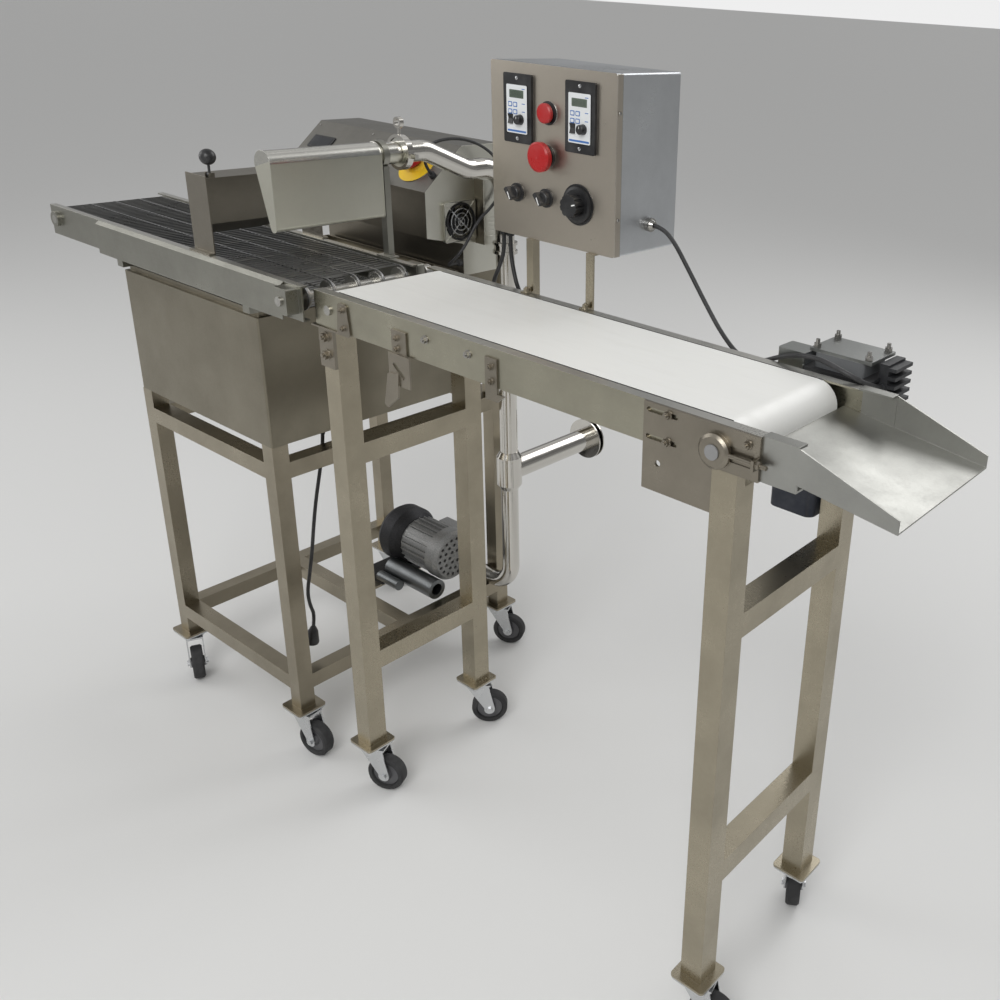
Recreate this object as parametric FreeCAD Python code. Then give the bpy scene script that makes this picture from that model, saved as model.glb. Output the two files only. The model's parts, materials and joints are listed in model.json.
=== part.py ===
import FreeCAD, Part
import math
import os

# Chocolate enrobing line: a tempering machine on its trolley, with a wire mesh conveyor over
# the tank, and a discharge belt conveyor on two stands. Millimetres. The line runs along +X,
# the operator stands at -Y, and +Z is up. The layout has X = 0 at the infeed stand, Y = 0 at
# the outer face of the near belt side plate and Z = 0 on the floor. The last step moves the
# whole assembly so that its footprint is centred on the origin.

V = FreeCAD.Vector
ALONG_X = V(1, 0, 0)
ALONG_Y = V(0, 1, 0)
ALONG_Z = V(0, 0, 1)
OUT = V(0, -1, 0)

# Clearances
seat_gap = 0.3
shaft_clearance = 0.05

# Belt conveyor
belt_top = 1018.0
conveyor_width = 245.0
side_plate_start = 10.0
side_plate_height = 58.0
sheet = 3.0
flange_width = 17.0
belt_edge_gap = 1.0
belt_thickness = 3.0
drive_roller_x = 820.5
side_plate_end = drive_roller_x + 62.5
drive_roller_radius = 31.0
tail_roller_x = 47.0
tail_roller_radius = 24.0
drive_shaft_radius = 10.0
tail_shaft_radius = 8.0
slider_bed_margin = 12.0
cross_tube_radius = 9.0
cross_tube_places = (190.0, 440.0, 650.0)
plate_gland_places = (130.0, 215.0)
plate_gland_y = 236.0

# Take-up plate on the near side of the belt drive
takeup_start = drive_roller_x - 114.5
takeup_drop = 120.0
takeup_thickness = 4.0
takeup_slot_length = 43.0
takeup_slot_width = 6.5
takeup_slot_drops = (10.0, 46.5)
takeup_hole_radius = 4.5
bearing_radius = 23.0
bearing_height = 9.0

# Discharge chute
chute_start = drive_roller_x + drive_roller_radius + belt_thickness + 2.0
chute_wall_start = side_plate_end + 51.0
chute_end = side_plate_end + 184.0
chute_end_top = 973.0
chute_end_height = 18.0
chute_floor_start_drop = 34.0

# Stands
stand_tube = 38.0
stand_width = 322.0
infeed_stand_x = 0.0
infeed_leg_near = 15.0
discharge_stand_x = drive_roller_x - 4.5
stand_arm_thickness = 10.0
infeed_rail_tops = (314.0, 741.0)
discharge_rail_tops = (329.0, 750.0)
foot_plate_side = 62.0
foot_plate_thickness = 4.0
leg_bolt_drops = (22.0, 52.0)
lug_drop = 75.0
lug_thickness = 6.0
bracket_from_leg = 86.0
clip_x = 222.0
stop_clip_x = 425.0
plate_bolt_places = (283.0, 376.0)

# Casters
caster_height = 108.0
caster_plate_thickness = 3.0
wheel_radius = 37.5
wheel_width = 24.0
caster_trail = 27.0
king_pin_radius = 6.0
axle_radius = 4.0
fork_sheet = 2.5

# Trolley and tank
trolley_right = -158.0
trolley_length = 453.0
trolley_near = -4.0
trolley_depth = 560.0
trolley_tube = 32.0
tank_bottom = 688.0
tank_height = 244.0
tank_wall = 22.0
tank_floor = 30.0
tank_lip_height = 10.0
tank_lip_sheet = 3.0
trolley_upper_rail_top = 651.0
trolley_lower_rail_top = 183.0
trolley_middle_rail_y = 276.0

# Wire mesh conveyor
mesh_start = -860.0
mesh_near = -15.0
mesh_width = 232.0
mesh_rail_height = 59.0
mesh_rail_top = 1022.0
mesh_flange = 12.0
mesh_roller_radius = 20.0
mesh_roller_inset = 27.0
mesh_wire = 2.4
mesh_pitch = 13.0
mesh_shaft_radius = 8.0
mesh_edge_gap = 4.0
sprocket_radius = 19.0
sprocket_teeth = 12
cover_start = -658.0
cover_end = -48.0
cover_depth = 8.0

# Flow box and air knife
flow_box_x = -303.0
flow_box_length = 64.0
flow_box_top = 1154.0
flow_box_bottom = 1056.0
flow_box_near_gap = 14.0
flow_box_sheet = 2.0
curtain_slit = 8.0
lever_ball_radius = 13.5
lever_length = 16.0
knife_x = -94.0
knife_z = 1201.0
knife_radius = 21.0
knife_drop = 100.0
knife_lip_radius = 7.0
knife_sheet = 1.5
support_width = 12.0

# Air pipework and bleed
pipe_radius = 19.0
pipe_wall = 1.5
riser_x = -88.0
riser_y = 505.0
riser_top = 1159.0
pipe_bend_radius = 57.0
run_z = 205.0
branch_z = 500.0
branch_radius = 25.5
branch_end_y = 750.0
disc_radius = 48.0
disc_thickness = 3.0
bleed_opening = 10.0
bleed_travel = 8.0

# Ring blower
blower_axis_y = 440.0
blower_axis_z = 264.0
motor_end_x = -205.0
motor_radius = 60.0
motor_length = 130.0
ring_radius = 68.0
ring_length = 72.0
silencer_radius = 23.0

# Tempering cabinet
cabinet_front = 366.0
cabinet_front_top = 1110.0
cabinet_panel_back = 459.0
cabinet_top = 1191.0
cabinet_belly = 1020.0
base_front = 456.0
side_cover_depth = 30.0
side_cover_near = 487.0
side_cover_width = 51.0
side_cover_bottom = 996.0
side_cover_height = 131.0
fan_y = 445.0
fan_z = 1046.0
fan_radius = 38.0
fan_frame_side = 80.0
cabinet_stop_x = -230.0
cabinet_stop_up_slope = 57.0
stop_plate_radius = 42.0
cabinet_gland_x = -168.0
cabinet_gland_up_slope = 40.0
base_gland_x = -166.0
base_gland_z = 958.0
gland_length = 8.0
gland_radius = 7.0

# Control box
box_left = 162.0
box_width = 266.0
box_front = 250.0
box_depth = 148.0
box_bottom = 1107.0
box_height = 271.0
post_side = 15.0
post_places = (250.0, 382.0)
post_thicknesses = (15.0, 4.0)
controller_width = 61.0
controller_height = 105.0
controller_depth = 5.0
controller_places = (225.5, 359.0)
controller_z = 1309.0
rocker_pin_radius = 1.0
controller_key_rise = 36.5
red_button_place = (289.0, 1308.5)
box_stop_place = (285.0, 1243.0)
selector_places = (219.0, 284.0)
knob_row_z = 1178.0
dial_x = 353.0
motor_gland_y = 330.0
motor_gland_z = 1150.0
box_cable_places = (168.0, 183.0)
box_cable_y = 266.0
selector_radius = 12.0
dial_radius = 29.0
dial_grip_radius = 17.5
dial_flutes = 10
box_stop_radius = 23.0
red_button_radius = 18.0

# Belt gear motor
gearbox_left = drive_roller_x - 45.5
gearbox_width = 102.0
gearbox_near = conveyor_width + 17.0
gearbox_depth = 83.0
gearbox_bottom = 960.0
gearbox_height = 52.0
clamp_plate_top = 1043.0
hung_motor_width = 77.0
hung_motor_bottom = 786.0

# Cords: routes and radii
motor_cable_radius = 3.5
power_cord_radius = 3.5
cabinet_cable_radius = 3.0
box_cable_radius = 3.5

# Heights and places worked out from the sizes above
plate_bottom = belt_top - side_plate_height
belt_near = flange_width + belt_edge_gap
belt_far = conveyor_width - flange_width - belt_edge_gap
drive_roller_z = belt_top - belt_thickness - drive_roller_radius
tail_roller_z = belt_top - belt_thickness - tail_roller_radius
discharge_leg_near = -takeup_thickness
stand_far = discharge_leg_near + stand_width
leg_bottom = caster_height + foot_plate_thickness
trolley_left = trolley_right - trolley_length
trolley_far = trolley_near + trolley_depth
tank_top = tank_bottom + tank_height
mesh_far = mesh_near + mesh_width
mesh_rail_bottom = mesh_rail_top - mesh_rail_height
mesh_end = -2.0
mesh_drive_x = mesh_end - mesh_roller_inset
mesh_idler_x = mesh_start + mesh_roller_inset
mesh_roller_z = mesh_rail_top - sheet - mesh_wire - mesh_roller_radius
knife_near = -3.0
knife_far = 209.0
knife_lip_x = knife_x + knife_radius - knife_lip_radius
ferrule_radius = 25.0
ferrule_start = knife_far + 51.0
lever_x = flow_box_x + flow_box_length / 2 - 8.0
box_right = box_left + box_width
box_top = box_bottom + box_height


def block(x0, x1, y0, y1, z0, z1):
    """A box from its limits along each axis."""
    return Part.makeBox(x1 - x0, y1 - y0, z1 - z0, V(x0, y0, z0))


def rod(start, axis, length, radius):
    """A round bar from its start along an axis."""
    return Part.makeCylinder(radius, length, start, axis)


def sleeve(start, axis, length, outer, inner):
    """A round tube from its start along an axis."""
    return rod(start, axis, length, outer).cut(rod(start, axis, length, inner))


def prism(points, travel):
    """A polygon pushed along a vector."""
    return Part.Face(Part.makePolygon(points + points[:1])).extrude(travel)


def joined(*shapes):
    """One solid from pieces that meet or overlap."""
    return shapes[0].multiFuse(list(shapes[1:])).removeSplitter()


def eased(shape, radius, axis):
    """The shape with its straight edges along an axis rounded."""
    edges = []
    for edge in shape.Edges:
        straight = edge.Curve.TypeId == "Part::GeomLine"
        if straight and edge.tangentAt(edge.FirstParameter).cross(axis).Length < 1e-6:
            edges.append(edge)
    return shape.makeFillet(radius, edges)


def revolved(points, start, axis):
    """A turned piece: points are (distance along the axis, radius)."""
    outline = [V(radius, 0, along) for along, radius in points]
    turned = Part.Face(Part.makePolygon(outline + outline[:1]))
    turned = turned.revolve(V(0, 0, 0), ALONG_Z, 360)
    turned.Placement = FreeCAD.Placement(start, FreeCAD.Rotation(ALONG_Z, axis))
    return turned


def hexagon(start, axis, across, height):
    """A hexagon nut or bolt head that stands on its start point."""
    radius = across / math.sqrt(3)
    corners = [V(radius * math.cos(math.radians(60 * k)), radius * math.sin(math.radians(60 * k)), 0)
               for k in range(6)]
    nut = prism(corners, V(0, 0, height))
    nut.Placement = FreeCAD.Placement(start, FreeCAD.Rotation(ALONG_Z, axis))
    return nut


def bolt_head(start, axis, across):
    """A washer with a hexagon head and the end of its thread."""
    washer = rod(start, axis, 1.2, across * 0.72)
    head = hexagon(start + axis * 1.2, axis, across, across * 0.5)
    return joined(washer, head, rod(start + axis * 1.2, axis, across * 0.75, across * 0.28))


def loop_wire(x1, z1, r1, x2, z2, r2, y):
    """The outline of a band pulled tight round two circles in the XZ plane."""
    span = V(x2 - x1, 0, z2 - z1)
    ahead = span.normalize() if span.Length else ALONG_X
    distance = math.hypot(x2 - x1, z2 - z1)
    side = V(-ahead.z, 0, ahead.x)
    lean = (r1 - r2) / distance
    rise = math.sqrt(1 - lean ** 2)
    first = V(x1, y, z1)
    last = V(x2, y, z2)
    upper = ahead * lean + side * rise
    lower = ahead * lean - side * rise
    edges = [
        Part.Arc(first + lower * r1, first - ahead * r1, first + upper * r1).toShape(),
        Part.LineSegment(first + upper * r1, last + upper * r2).toShape(),
        Part.Arc(last + upper * r2, last + ahead * r2, last + lower * r2).toShape(),
        Part.LineSegment(last + lower * r2, first + lower * r1).toShape(),
    ]
    return Part.Wire(edges)


def band(x1, z1, r1, x2, z2, r2, y, width, thickness):
    """A closed band of even thickness round two rollers, outside the given radii."""
    outer = Part.Face(loop_wire(x1, z1, r1 + thickness, x2, z2, r2 + thickness, y))
    inner = Part.Face(loop_wire(x1, z1, r1, x2, z2, r2, y))
    return outer.cut(inner).extrude(V(0, width, 0))


# ---------------------------------------------------------------- frames and stands


def foot_plate(x, y):
    """The square plate welded under a leg, for the caster bolts."""
    half = foot_plate_side / 2
    plate = block(x - half, x + half, y - half, y + half, caster_height, leg_bottom)
    return eased(plate, 6, ALONG_Z)


def trolley_leg_centres():
    half = trolley_tube / 2
    return [(x, y) for x in (trolley_left + half, trolley_right - half)
            for y in (trolley_near + half, trolley_far - half)]


def trolley_frame():
    """Welded square tube trolley: four legs, two rings of rails and a middle rail."""
    half = trolley_tube / 2
    pieces = []
    for x, y in trolley_leg_centres():
        pieces.append(block(x - half, x + half, y - half, y + half, leg_bottom, tank_bottom))
        pieces.append(foot_plate(x, y))
    for top in (trolley_lower_rail_top, trolley_upper_rail_top):
        low = top - trolley_tube
        for y in (trolley_near, trolley_far - trolley_tube):
            pieces.append(block(trolley_left, trolley_right, y, y + trolley_tube, low, top))
        for x in (trolley_left, trolley_right - trolley_tube):
            pieces.append(block(x, x + trolley_tube, trolley_near, trolley_far, low, top))
    low = trolley_lower_rail_top - trolley_tube
    pieces.append(block(trolley_left, trolley_right, trolley_middle_rail_y - half,
                        trolley_middle_rail_y + half, low, trolley_lower_rail_top))
    for x in (ring_end - ring_length + 10, ring_end - 30):
        pieces.append(block(x, x + 25, trolley_middle_rail_y, trolley_far - half,
                            trolley_lower_rail_top - 6, trolley_lower_rail_top))
    return joined(*pieces)


def stand_leg_centres(x, leg_near):
    half = stand_tube / 2
    return [(x + half, leg_near + half), (x + half, stand_far - half)]


def stand(x, leg_near, rail_tops, near_notch):
    """A two-legged stand with two rails; its far leg carries the arm under the far side plate."""
    half = stand_tube / 2
    arm_bottom = plate_bottom - stand_arm_thickness
    near, far = stand_leg_centres(x, leg_near)
    pieces = [foot_plate(*near), foot_plate(*far)]
    leg = block(x, x + stand_tube, leg_near, leg_near + stand_tube, leg_bottom, plate_bottom)
    if near_notch:
        notch = block(x, x + stand_tube, flange_width - sheet, leg_near + stand_tube,
                      arm_bottom - stand_arm_thickness, plate_bottom)
        leg = leg.cut(notch)
    pieces.append(leg)
    pieces.append(block(x, x + stand_tube, far[1] - half, far[1] + half, leg_bottom, arm_bottom))
    for top in rail_tops:
        pieces.append(block(x, x + stand_tube, near[1], far[1], top - stand_tube, top))
    pieces.append(block(x, x + stand_tube, belt_far + 4, far[1] + half, arm_bottom, plate_bottom))
    return joined(*pieces)


def leg_bracket():
    """Angle on the near side plate with a shelf and a lug bolted to the infeed leg, and its bolts."""
    centre = infeed_stand_x + bracket_from_leg
    foot = plate_bottom - sheet
    upright = prism([V(centre - 17, -sheet, foot), V(centre + 17, -sheet, foot),
                     V(centre + 11, -sheet, plate_bottom + 50),
                     V(centre - 11, -sheet, plate_bottom + 50)], V(0, sheet, 0))
    upright = eased(upright, 6, ALONG_Y)
    shelf = prism([V(infeed_stand_x, -sheet, foot), V(centre + 10, -sheet, foot),
                   V(centre - 10, infeed_leg_near, foot), V(infeed_stand_x, infeed_leg_near, foot)],
                  V(0, 0, sheet))
    lug_face = infeed_leg_near - lug_thickness
    lug = block(infeed_stand_x, infeed_stand_x + stand_tube, lug_face, infeed_leg_near,
                plate_bottom - lug_drop, plate_bottom)
    parts = [joined(upright, shelf, lug)]
    for drop in leg_bolt_drops:
        parts.append(bolt_head(V(infeed_stand_x + stand_tube / 2, lug_face, plate_bottom - drop),
                               OUT, 13))
    for rise in (10, 40):
        parts.append(bolt_head(V(centre, -sheet, plate_bottom + rise), OUT, 8))
    return parts


def hung_bracket():
    """Clip on the near side plate with a slotted plate and a lever hung below it."""
    clip = block(clip_x - 16, clip_x + 18, -sheet, 0, plate_bottom - 4, plate_bottom + 37)
    hung = block(clip_x - 22, clip_x + 27, -2 * sheet, -sheet, plate_bottom - 51, plate_bottom)
    slot = block(-16, 16, -2, 2, -3.5, 3.5)
    slot.Placement = FreeCAD.Placement(V(clip_x + 2, -1.5 * sheet, plate_bottom - 26),
                                       FreeCAD.Rotation(ALONG_Y, 40))
    outline = ((-22, -34), (4, -30), (0, -70), (-26, -92), (-34, -88))
    lever = prism([V(clip_x + x, -3 * sheet, plate_bottom + z) for x, z in outline],
                  V(0, sheet, 0))
    parts = [joined(clip, hung).cut(slot), lever]
    for rise in (8, 25):
        parts.append(bolt_head(V(clip_x - 4, -sheet, plate_bottom + rise), OUT, 8))
    return parts


def stop_bracket():
    """Plain clip with a clipped lower corner, and its bolts."""
    low = plate_bottom - 20
    outline = ((-12, 64), (12, 64), (12, 12), (27, 12), (12, 0), (-12, 0))
    clip = prism([V(stop_clip_x + x, -sheet, low + z) for x, z in outline], V(0, sheet, 0))
    parts = [clip]
    for rise in (9, 31):
        parts.append(bolt_head(V(stop_clip_x, -sheet, plate_bottom + rise), OUT, 8))
    return parts


def stand_brackets():
    """Everything bolted to the near side plate."""
    parts = leg_bracket() + hung_bracket() + stop_bracket()
    for x in plate_bolt_places:
        parts.append(bolt_head(V(x, 0, plate_bottom + 37), OUT, 9))
    return parts


# ---------------------------------------------------------------- casters


# Where each caster trails, in the order of caster_centres()
caster_angles = {
    "trolley_near_left": -25.0, "trolley_far_left": 20.0,
    "trolley_near_right": 10.0, "trolley_far_right": 30.0,
    "infeed_near": 25.0, "infeed_far": 45.0,
    "discharge_near": 15.0, "discharge_far": 120.0,
}


def caster_centres():
    return (trolley_leg_centres() + stand_leg_centres(infeed_stand_x, infeed_leg_near)
            + stand_leg_centres(discharge_stand_x, discharge_leg_near))


def caster_plate():
    """Top plate, ball race, king pin and four bolts, with the swivel axis on Z."""
    half = foot_plate_side / 2
    under = caster_height - caster_plate_thickness
    plate = eased(block(-half, half, -half, half, under, caster_height), 8, ALONG_Z)
    race = revolved([(0, 0), (0, 20), (3, 25), (5, 25), (5, 0)], V(0, 0, under - 5), ALONG_Z)
    pin = rod(V(0, 0, 91), ALONG_Z, under - 91, king_pin_radius)
    nut = hexagon(V(0, 0, 89), ALONG_Z, 15, 6)
    bolts = []
    for x in (-half + 8, half - 8):
        for y in (-half + 8, half - 8):
            bolts.append(hexagon(V(x, y, under - 4), ALONG_Z, 9, 4))
            bolts.append(rod(V(x, y, under - 5), ALONG_Z, 3, 3))
    return joined(plate, race, pin, nut, *bolts)


def caster_fork():
    """Pressed fork with its axle, trailing along +X from the swivel axis."""
    gap = wheel_width / 2 + 2.5 + seat_gap
    top = caster_height - caster_plate_thickness - 5 - seat_gap
    crown = rod(V(0, 0, top - 4), ALONG_Z, 4, 24)
    crown = crown.fuse(block(-14, 30, -gap - fork_sheet, gap + fork_sheet, top - 4, top))
    crown = crown.cut(rod(V(0, 0, 0), ALONG_Z, 200, king_pin_radius + shaft_clearance))
    crown = crown.cut(rod(V(0, 0, 80), ALONG_Z, 15 + seat_gap, 10))
    pieces = [crown]
    for y in (-gap - fork_sheet, gap):
        cheek = prism([V(-20, y, top), V(26, y, top), V(caster_trail + 11, y, wheel_radius + 4),
                       V(caster_trail + 9, y, wheel_radius - 5), V(caster_trail - 9, y, wheel_radius - 5),
                       V(caster_trail - 11, y, wheel_radius + 4)], V(0, fork_sheet, 0))
        boss = rod(V(caster_trail, y, wheel_radius), ALONG_Y, fork_sheet, 11)
        pieces.append(cheek.fuse(boss))
    pieces.append(rod(V(caster_trail, -gap - fork_sheet, wheel_radius), ALONG_Y,
                      2 * (gap + fork_sheet), axle_radius))
    for side in (-1, 1):
        face = V(caster_trail, side * (gap + fork_sheet), wheel_radius)
        pieces.append(hexagon(face, ALONG_Y * side, 11, 4))
    return joined(*pieces)


def caster_wheel():
    """Wheel with a crowned tread, a web on each side and a plain bore."""
    half = wheel_width / 2
    hub = half + 2.5
    bore = axle_radius + shaft_clearance
    outline = [(-hub, bore), (-hub, 11), (-half + 5, 13), (-half + 5, 26), (-half, 28),
               (-half, wheel_radius - 3), (-half + 4, wheel_radius), (half - 4, wheel_radius),
               (half, wheel_radius - 3), (half, 28), (half - 5, 26), (half - 5, 13),
               (hub, 11), (hub, bore)]
    return revolved(outline, V(caster_trail, 0, wheel_radius), ALONG_Y)


def placed(shape, x, y, angle):
    """A copy turned about Z and moved to its leg."""
    copy = shape.copy()
    turned = FreeCAD.Placement(V(x, y, 0), FreeCAD.Rotation(ALONG_Z, angle))
    copy.Placement = turned.multiply(shape.Placement)
    return copy


def casters():
    """Every caster: the plates as one group, the forks and wheels by name."""
    plate = caster_plate()
    fork = caster_fork()
    wheel = caster_wheel()
    centres = caster_centres()
    parts = {"caster_plates": []}
    for (name, angle), (x, y) in zip(caster_angles.items(), centres):
        parts["caster_plates"].append(placed(plate, x, y, 0))
        parts[name + "_caster_fork"] = [placed(fork, x, y, angle)]
        parts[name + "_caster_wheel"] = [placed(wheel, x, y, angle)]
    return parts


# ---------------------------------------------------------------- belt conveyor


def channel(near, far, low, high, x0, x1, lip):
    """A sheet side plate with inward lips; the web is at near and the lips reach towards far."""
    step = sheet if far > near else -sheet
    reach = lip if far > near else -lip
    points = [V(x0, near, low), V(x0, near + reach, low), V(x0, near + reach, low + sheet),
              V(x0, near + step, low + sheet), V(x0, near + step, high - sheet),
              V(x0, near + reach, high - sheet), V(x0, near + reach, high), V(x0, near, high)]
    return prism(points, V(x1 - x0, 0, 0))


def side_plates():
    """Both folded side plates of the belt conveyor, with their shaft holes."""
    plates = []
    for web, inner in ((0, conveyor_width), (conveyor_width, 0)):
        plate = channel(web, inner, plate_bottom, belt_top, side_plate_start, side_plate_end,
                        flange_width)
        across = web - sheet if web else 0
        near_hole = V(tail_roller_x, across - 1, tail_roller_z)
        plate = plate.cut(rod(near_hole, ALONG_Y, sheet + 2, tail_shaft_radius + shaft_clearance))
        take_up = rod(V(drive_roller_x, across - 1, drive_roller_z), ALONG_Y, sheet + 2,
                      drive_shaft_radius + 4)
        plate = plate.cut(take_up)
        plates.append(plate)
    for x in plate_gland_places:
        plates.append(rod(V(x, plate_gland_y, plate_bottom - gland_length), ALONG_Z,
                          gland_length, gland_radius))
    return plates


def slider_bed():
    """Folded sheet under the carrying run, with the cross tubes that tie the side plates."""
    start = tail_roller_x + tail_roller_radius + slider_bed_margin
    end = drive_roller_x - drive_roller_radius - slider_bed_margin
    under_belt = belt_top - belt_thickness
    bed = block(start, end, sheet, conveyor_width - sheet, under_belt - 2, under_belt)
    for x in (start, end - 2):
        lip = block(x, x + 2, belt_near, belt_far, under_belt - 12, under_belt)
        bed = bed.fuse(lip)
    tubes = []
    for x in cross_tube_places:
        tubes.append(sleeve(V(x, sheet, under_belt - 2 - cross_tube_radius), ALONG_Y,
                            conveyor_width - 2 * sheet, cross_tube_radius, cross_tube_radius - 2))
    return [bed.removeSplitter()] + tubes


def conveyor_belt():
    """The endless white belt round the drive and tail rollers."""
    return band(tail_roller_x, tail_roller_z, tail_roller_radius, drive_roller_x, drive_roller_z,
                drive_roller_radius, belt_near, belt_far - belt_near, belt_thickness)


def roller(x, z, radius, shaft_radius, shaft_near, shaft_far):
    """A drum with its through shaft; the drum stays just inside the belt."""
    face = belt_far - belt_near
    drum = rod(V(x, belt_near, z), ALONG_Y, face, radius - seat_gap)
    return joined(drum, rod(V(x, shaft_near, z), ALONG_Y, shaft_far - shaft_near, shaft_radius))


def drive_roller():
    shaft_near = -takeup_thickness - bearing_height - 2
    return roller(drive_roller_x, drive_roller_z, drive_roller_radius, drive_shaft_radius,
                  shaft_near, gearbox_near + 20)


def tail_roller():
    return roller(tail_roller_x, tail_roller_z, tail_roller_radius, tail_shaft_radius,
                  -4, conveyor_width + 4)


def slot_cut(x0, x1, z):
    """A round-ended slot through the take-up plate."""
    radius = takeup_slot_width / 2
    y = -takeup_thickness - 1
    depth = takeup_thickness + 2
    middle = block(x0, x1, y, y + depth, z - radius, z + radius)
    return middle.fuse([rod(V(x, y, z), ALONG_Y, depth, radius) for x in (x0, x1)])


def takeup_plates():
    """Slotted plate that carries the near drive bearing, its bearing, bolts and draw screw."""
    y = -takeup_thickness
    low = belt_top - takeup_drop
    outline = [V(takeup_start, y, belt_top), V(takeup_start, y, low),
               V(discharge_stand_x, y, low), V(discharge_stand_x, y, plate_bottom),
               V(side_plate_end, y, plate_bottom), V(side_plate_end, y, belt_top)]
    plate = prism(outline, V(0, takeup_thickness, 0))
    slots = [(takeup_start + 8, belt_top - drop) for drop in takeup_slot_drops]
    for x, z in slots:
        plate = plate.cut(slot_cut(x, x + takeup_slot_length, z))
    plate = plate.cut(rod(V(takeup_start + 25, y - 1, low + 40), ALONG_Y, takeup_thickness + 2,
                          takeup_hole_radius))
    plate = plate.cut(rod(V(drive_roller_x, y - 1, drive_roller_z), ALONG_Y,
                          takeup_thickness + 2, drive_shaft_radius + 4))
    slide_top = drive_roller_z + 11
    plate = plate.cut(block(drive_roller_x + 17, side_plate_end - 8, y - 1, y + 1.5,
                            drive_roller_z - 9, slide_top))
    bearing = revolved([(0, drive_shaft_radius + shaft_clearance), (0, bearing_radius),
                        (bearing_height - 3, bearing_radius), (bearing_height, bearing_radius - 4),
                        (bearing_height, drive_shaft_radius + shaft_clearance)],
                       V(drive_roller_x, y, drive_roller_z), OUT)
    parts = [plate, bearing]
    for x, z in slots:
        parts.append(bolt_head(V(x + takeup_slot_length - 12, y, z), OUT, 9))
    parts.append(bolt_head(V(drive_roller_x + 45, y, belt_top - 14), OUT, 9))
    ear = block(side_plate_end - 4, side_plate_end, y - 12, y, drive_roller_z - 6, drive_roller_z + 8)
    screw = rod(V(drive_roller_x + bearing_radius, y - 5, drive_roller_z + 1), ALONG_X,
                side_plate_end + 14 - drive_roller_x - bearing_radius, 3)
    parts.append(joined(ear, screw, hexagon(V(side_plate_end, y - 5, drive_roller_z + 1),
                                            ALONG_X, 10, 5)))
    return parts


def discharge_chute():
    """Sheet metal chute with its two side walls and the folded end covers that carry it."""
    floor_top_start = belt_top - chute_floor_start_drop
    floor_top_end = chute_end_top - chute_end_height + 2
    floor = prism([V(chute_start, 0, floor_top_start), V(chute_end, 0, floor_top_end),
                   V(chute_end, 0, floor_top_end - 2), V(chute_start, 0, floor_top_start - 2)],
                  V(0, conveyor_width, 0))
    for web in (-1, conveyor_width - sheet - seat_gap):
        floor = floor.cut(block(chute_start - 1, side_plate_end, web, web + sheet + seat_gap + 1,
                                plate_bottom, belt_top))
    fall = (floor_top_start - floor_top_end) / (chute_end - chute_start)
    wall_foot = floor_top_start - 2 - fall * (chute_wall_start - chute_start)
    pieces = [floor]
    for y in (0, conveyor_width - 2):
        wall = prism([V(chute_wall_start, y, belt_top), V(chute_end, y, chute_end_top),
                      V(chute_end, y, floor_top_end - 2), V(chute_wall_start, y, wall_foot)],
                     V(0, 2, 0))
        pieces.append(wall)
    for web, inner in ((0, conveyor_width), (conveyor_width, 0)):
        cover = channel(web, inner, plate_bottom + 1, belt_top + 2, side_plate_end, chute_wall_start,
                        flange_width)
        pieces.append(cover)
    return joined(*pieces)


# ---------------------------------------------------------------- belt gear motor


def gear_motor():
    """Worm gearbox on the far side, its hung motor, the cover plate and four tie bolts."""
    left = gearbox_left
    right = left + gearbox_width
    near = gearbox_near
    far = near + gearbox_depth
    top = gearbox_bottom + gearbox_height
    body = eased(block(left, right, near, far, gearbox_bottom, top), 8, ALONG_Z)
    gasket = eased(block(left - 3, right + 3, near - 3, far, top, top + 5), 8, ALONG_Z)
    upper = eased(block(left + 12, right - 12, near + 8, far - 6, top + 5, clamp_plate_top - 5), 6,
                  ALONG_Z)
    boss = rod(V(drive_roller_x, conveyor_width, drive_roller_z), ALONG_Y, near - conveyor_width, 22)
    case = joined(body, gasket, upper, boss)
    case = case.cut(rod(V(drive_roller_x, conveyor_width - 1, drive_roller_z), ALONG_Y,
                        near - conveyor_width + 22, drive_shaft_radius + shaft_clearance))
    plate = block(left + 3, right - 1, near + 9, far - 3, clamp_plate_top - 5, clamp_plate_top)
    parts = [case, plate]
    for x in (left + 11, right - 9):
        for y in (near + 16, far - 10):
            foot = V(x, y, clamp_plate_top)
            parts.append(joined(hexagon(foot, ALONG_Z, 10, 6), rod(foot, ALONG_Z, 12, 3)))
    ribs = [block(right, right + 14, far - 50, far, gearbox_bottom + 2, clamp_plate_top - 6)]
    for k in range(6):
        z = gearbox_bottom + 6 + 12.5 * k
        ribs.append(block(right + 14, right + 26, far - 50, far, z, z + 5))
    ribs.append(rod(V(right + 8, far - 56, gearbox_bottom + 45), ALONG_Y, 8, 6))
    parts.append(joined(*ribs))
    motor_left = left - 40
    motor_far = near + hung_motor_width
    shell = eased(block(motor_left, motor_left + hung_motor_width, near, motor_far,
                        hung_motor_bottom, gearbox_bottom - 12), 14, ALONG_Z)
    neck = block(left + 2, motor_left + hung_motor_width - 8, near + 8, motor_far - 8,
                 gearbox_bottom - 12, gearbox_bottom)
    parts.append(joined(shell, neck))
    parts.append(eased(block(left - 45, left, near + 2, near + 40, top - 12, top + 22), 3, ALONG_Z))
    return parts


# ---------------------------------------------------------------- tank and mesh conveyor


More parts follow.
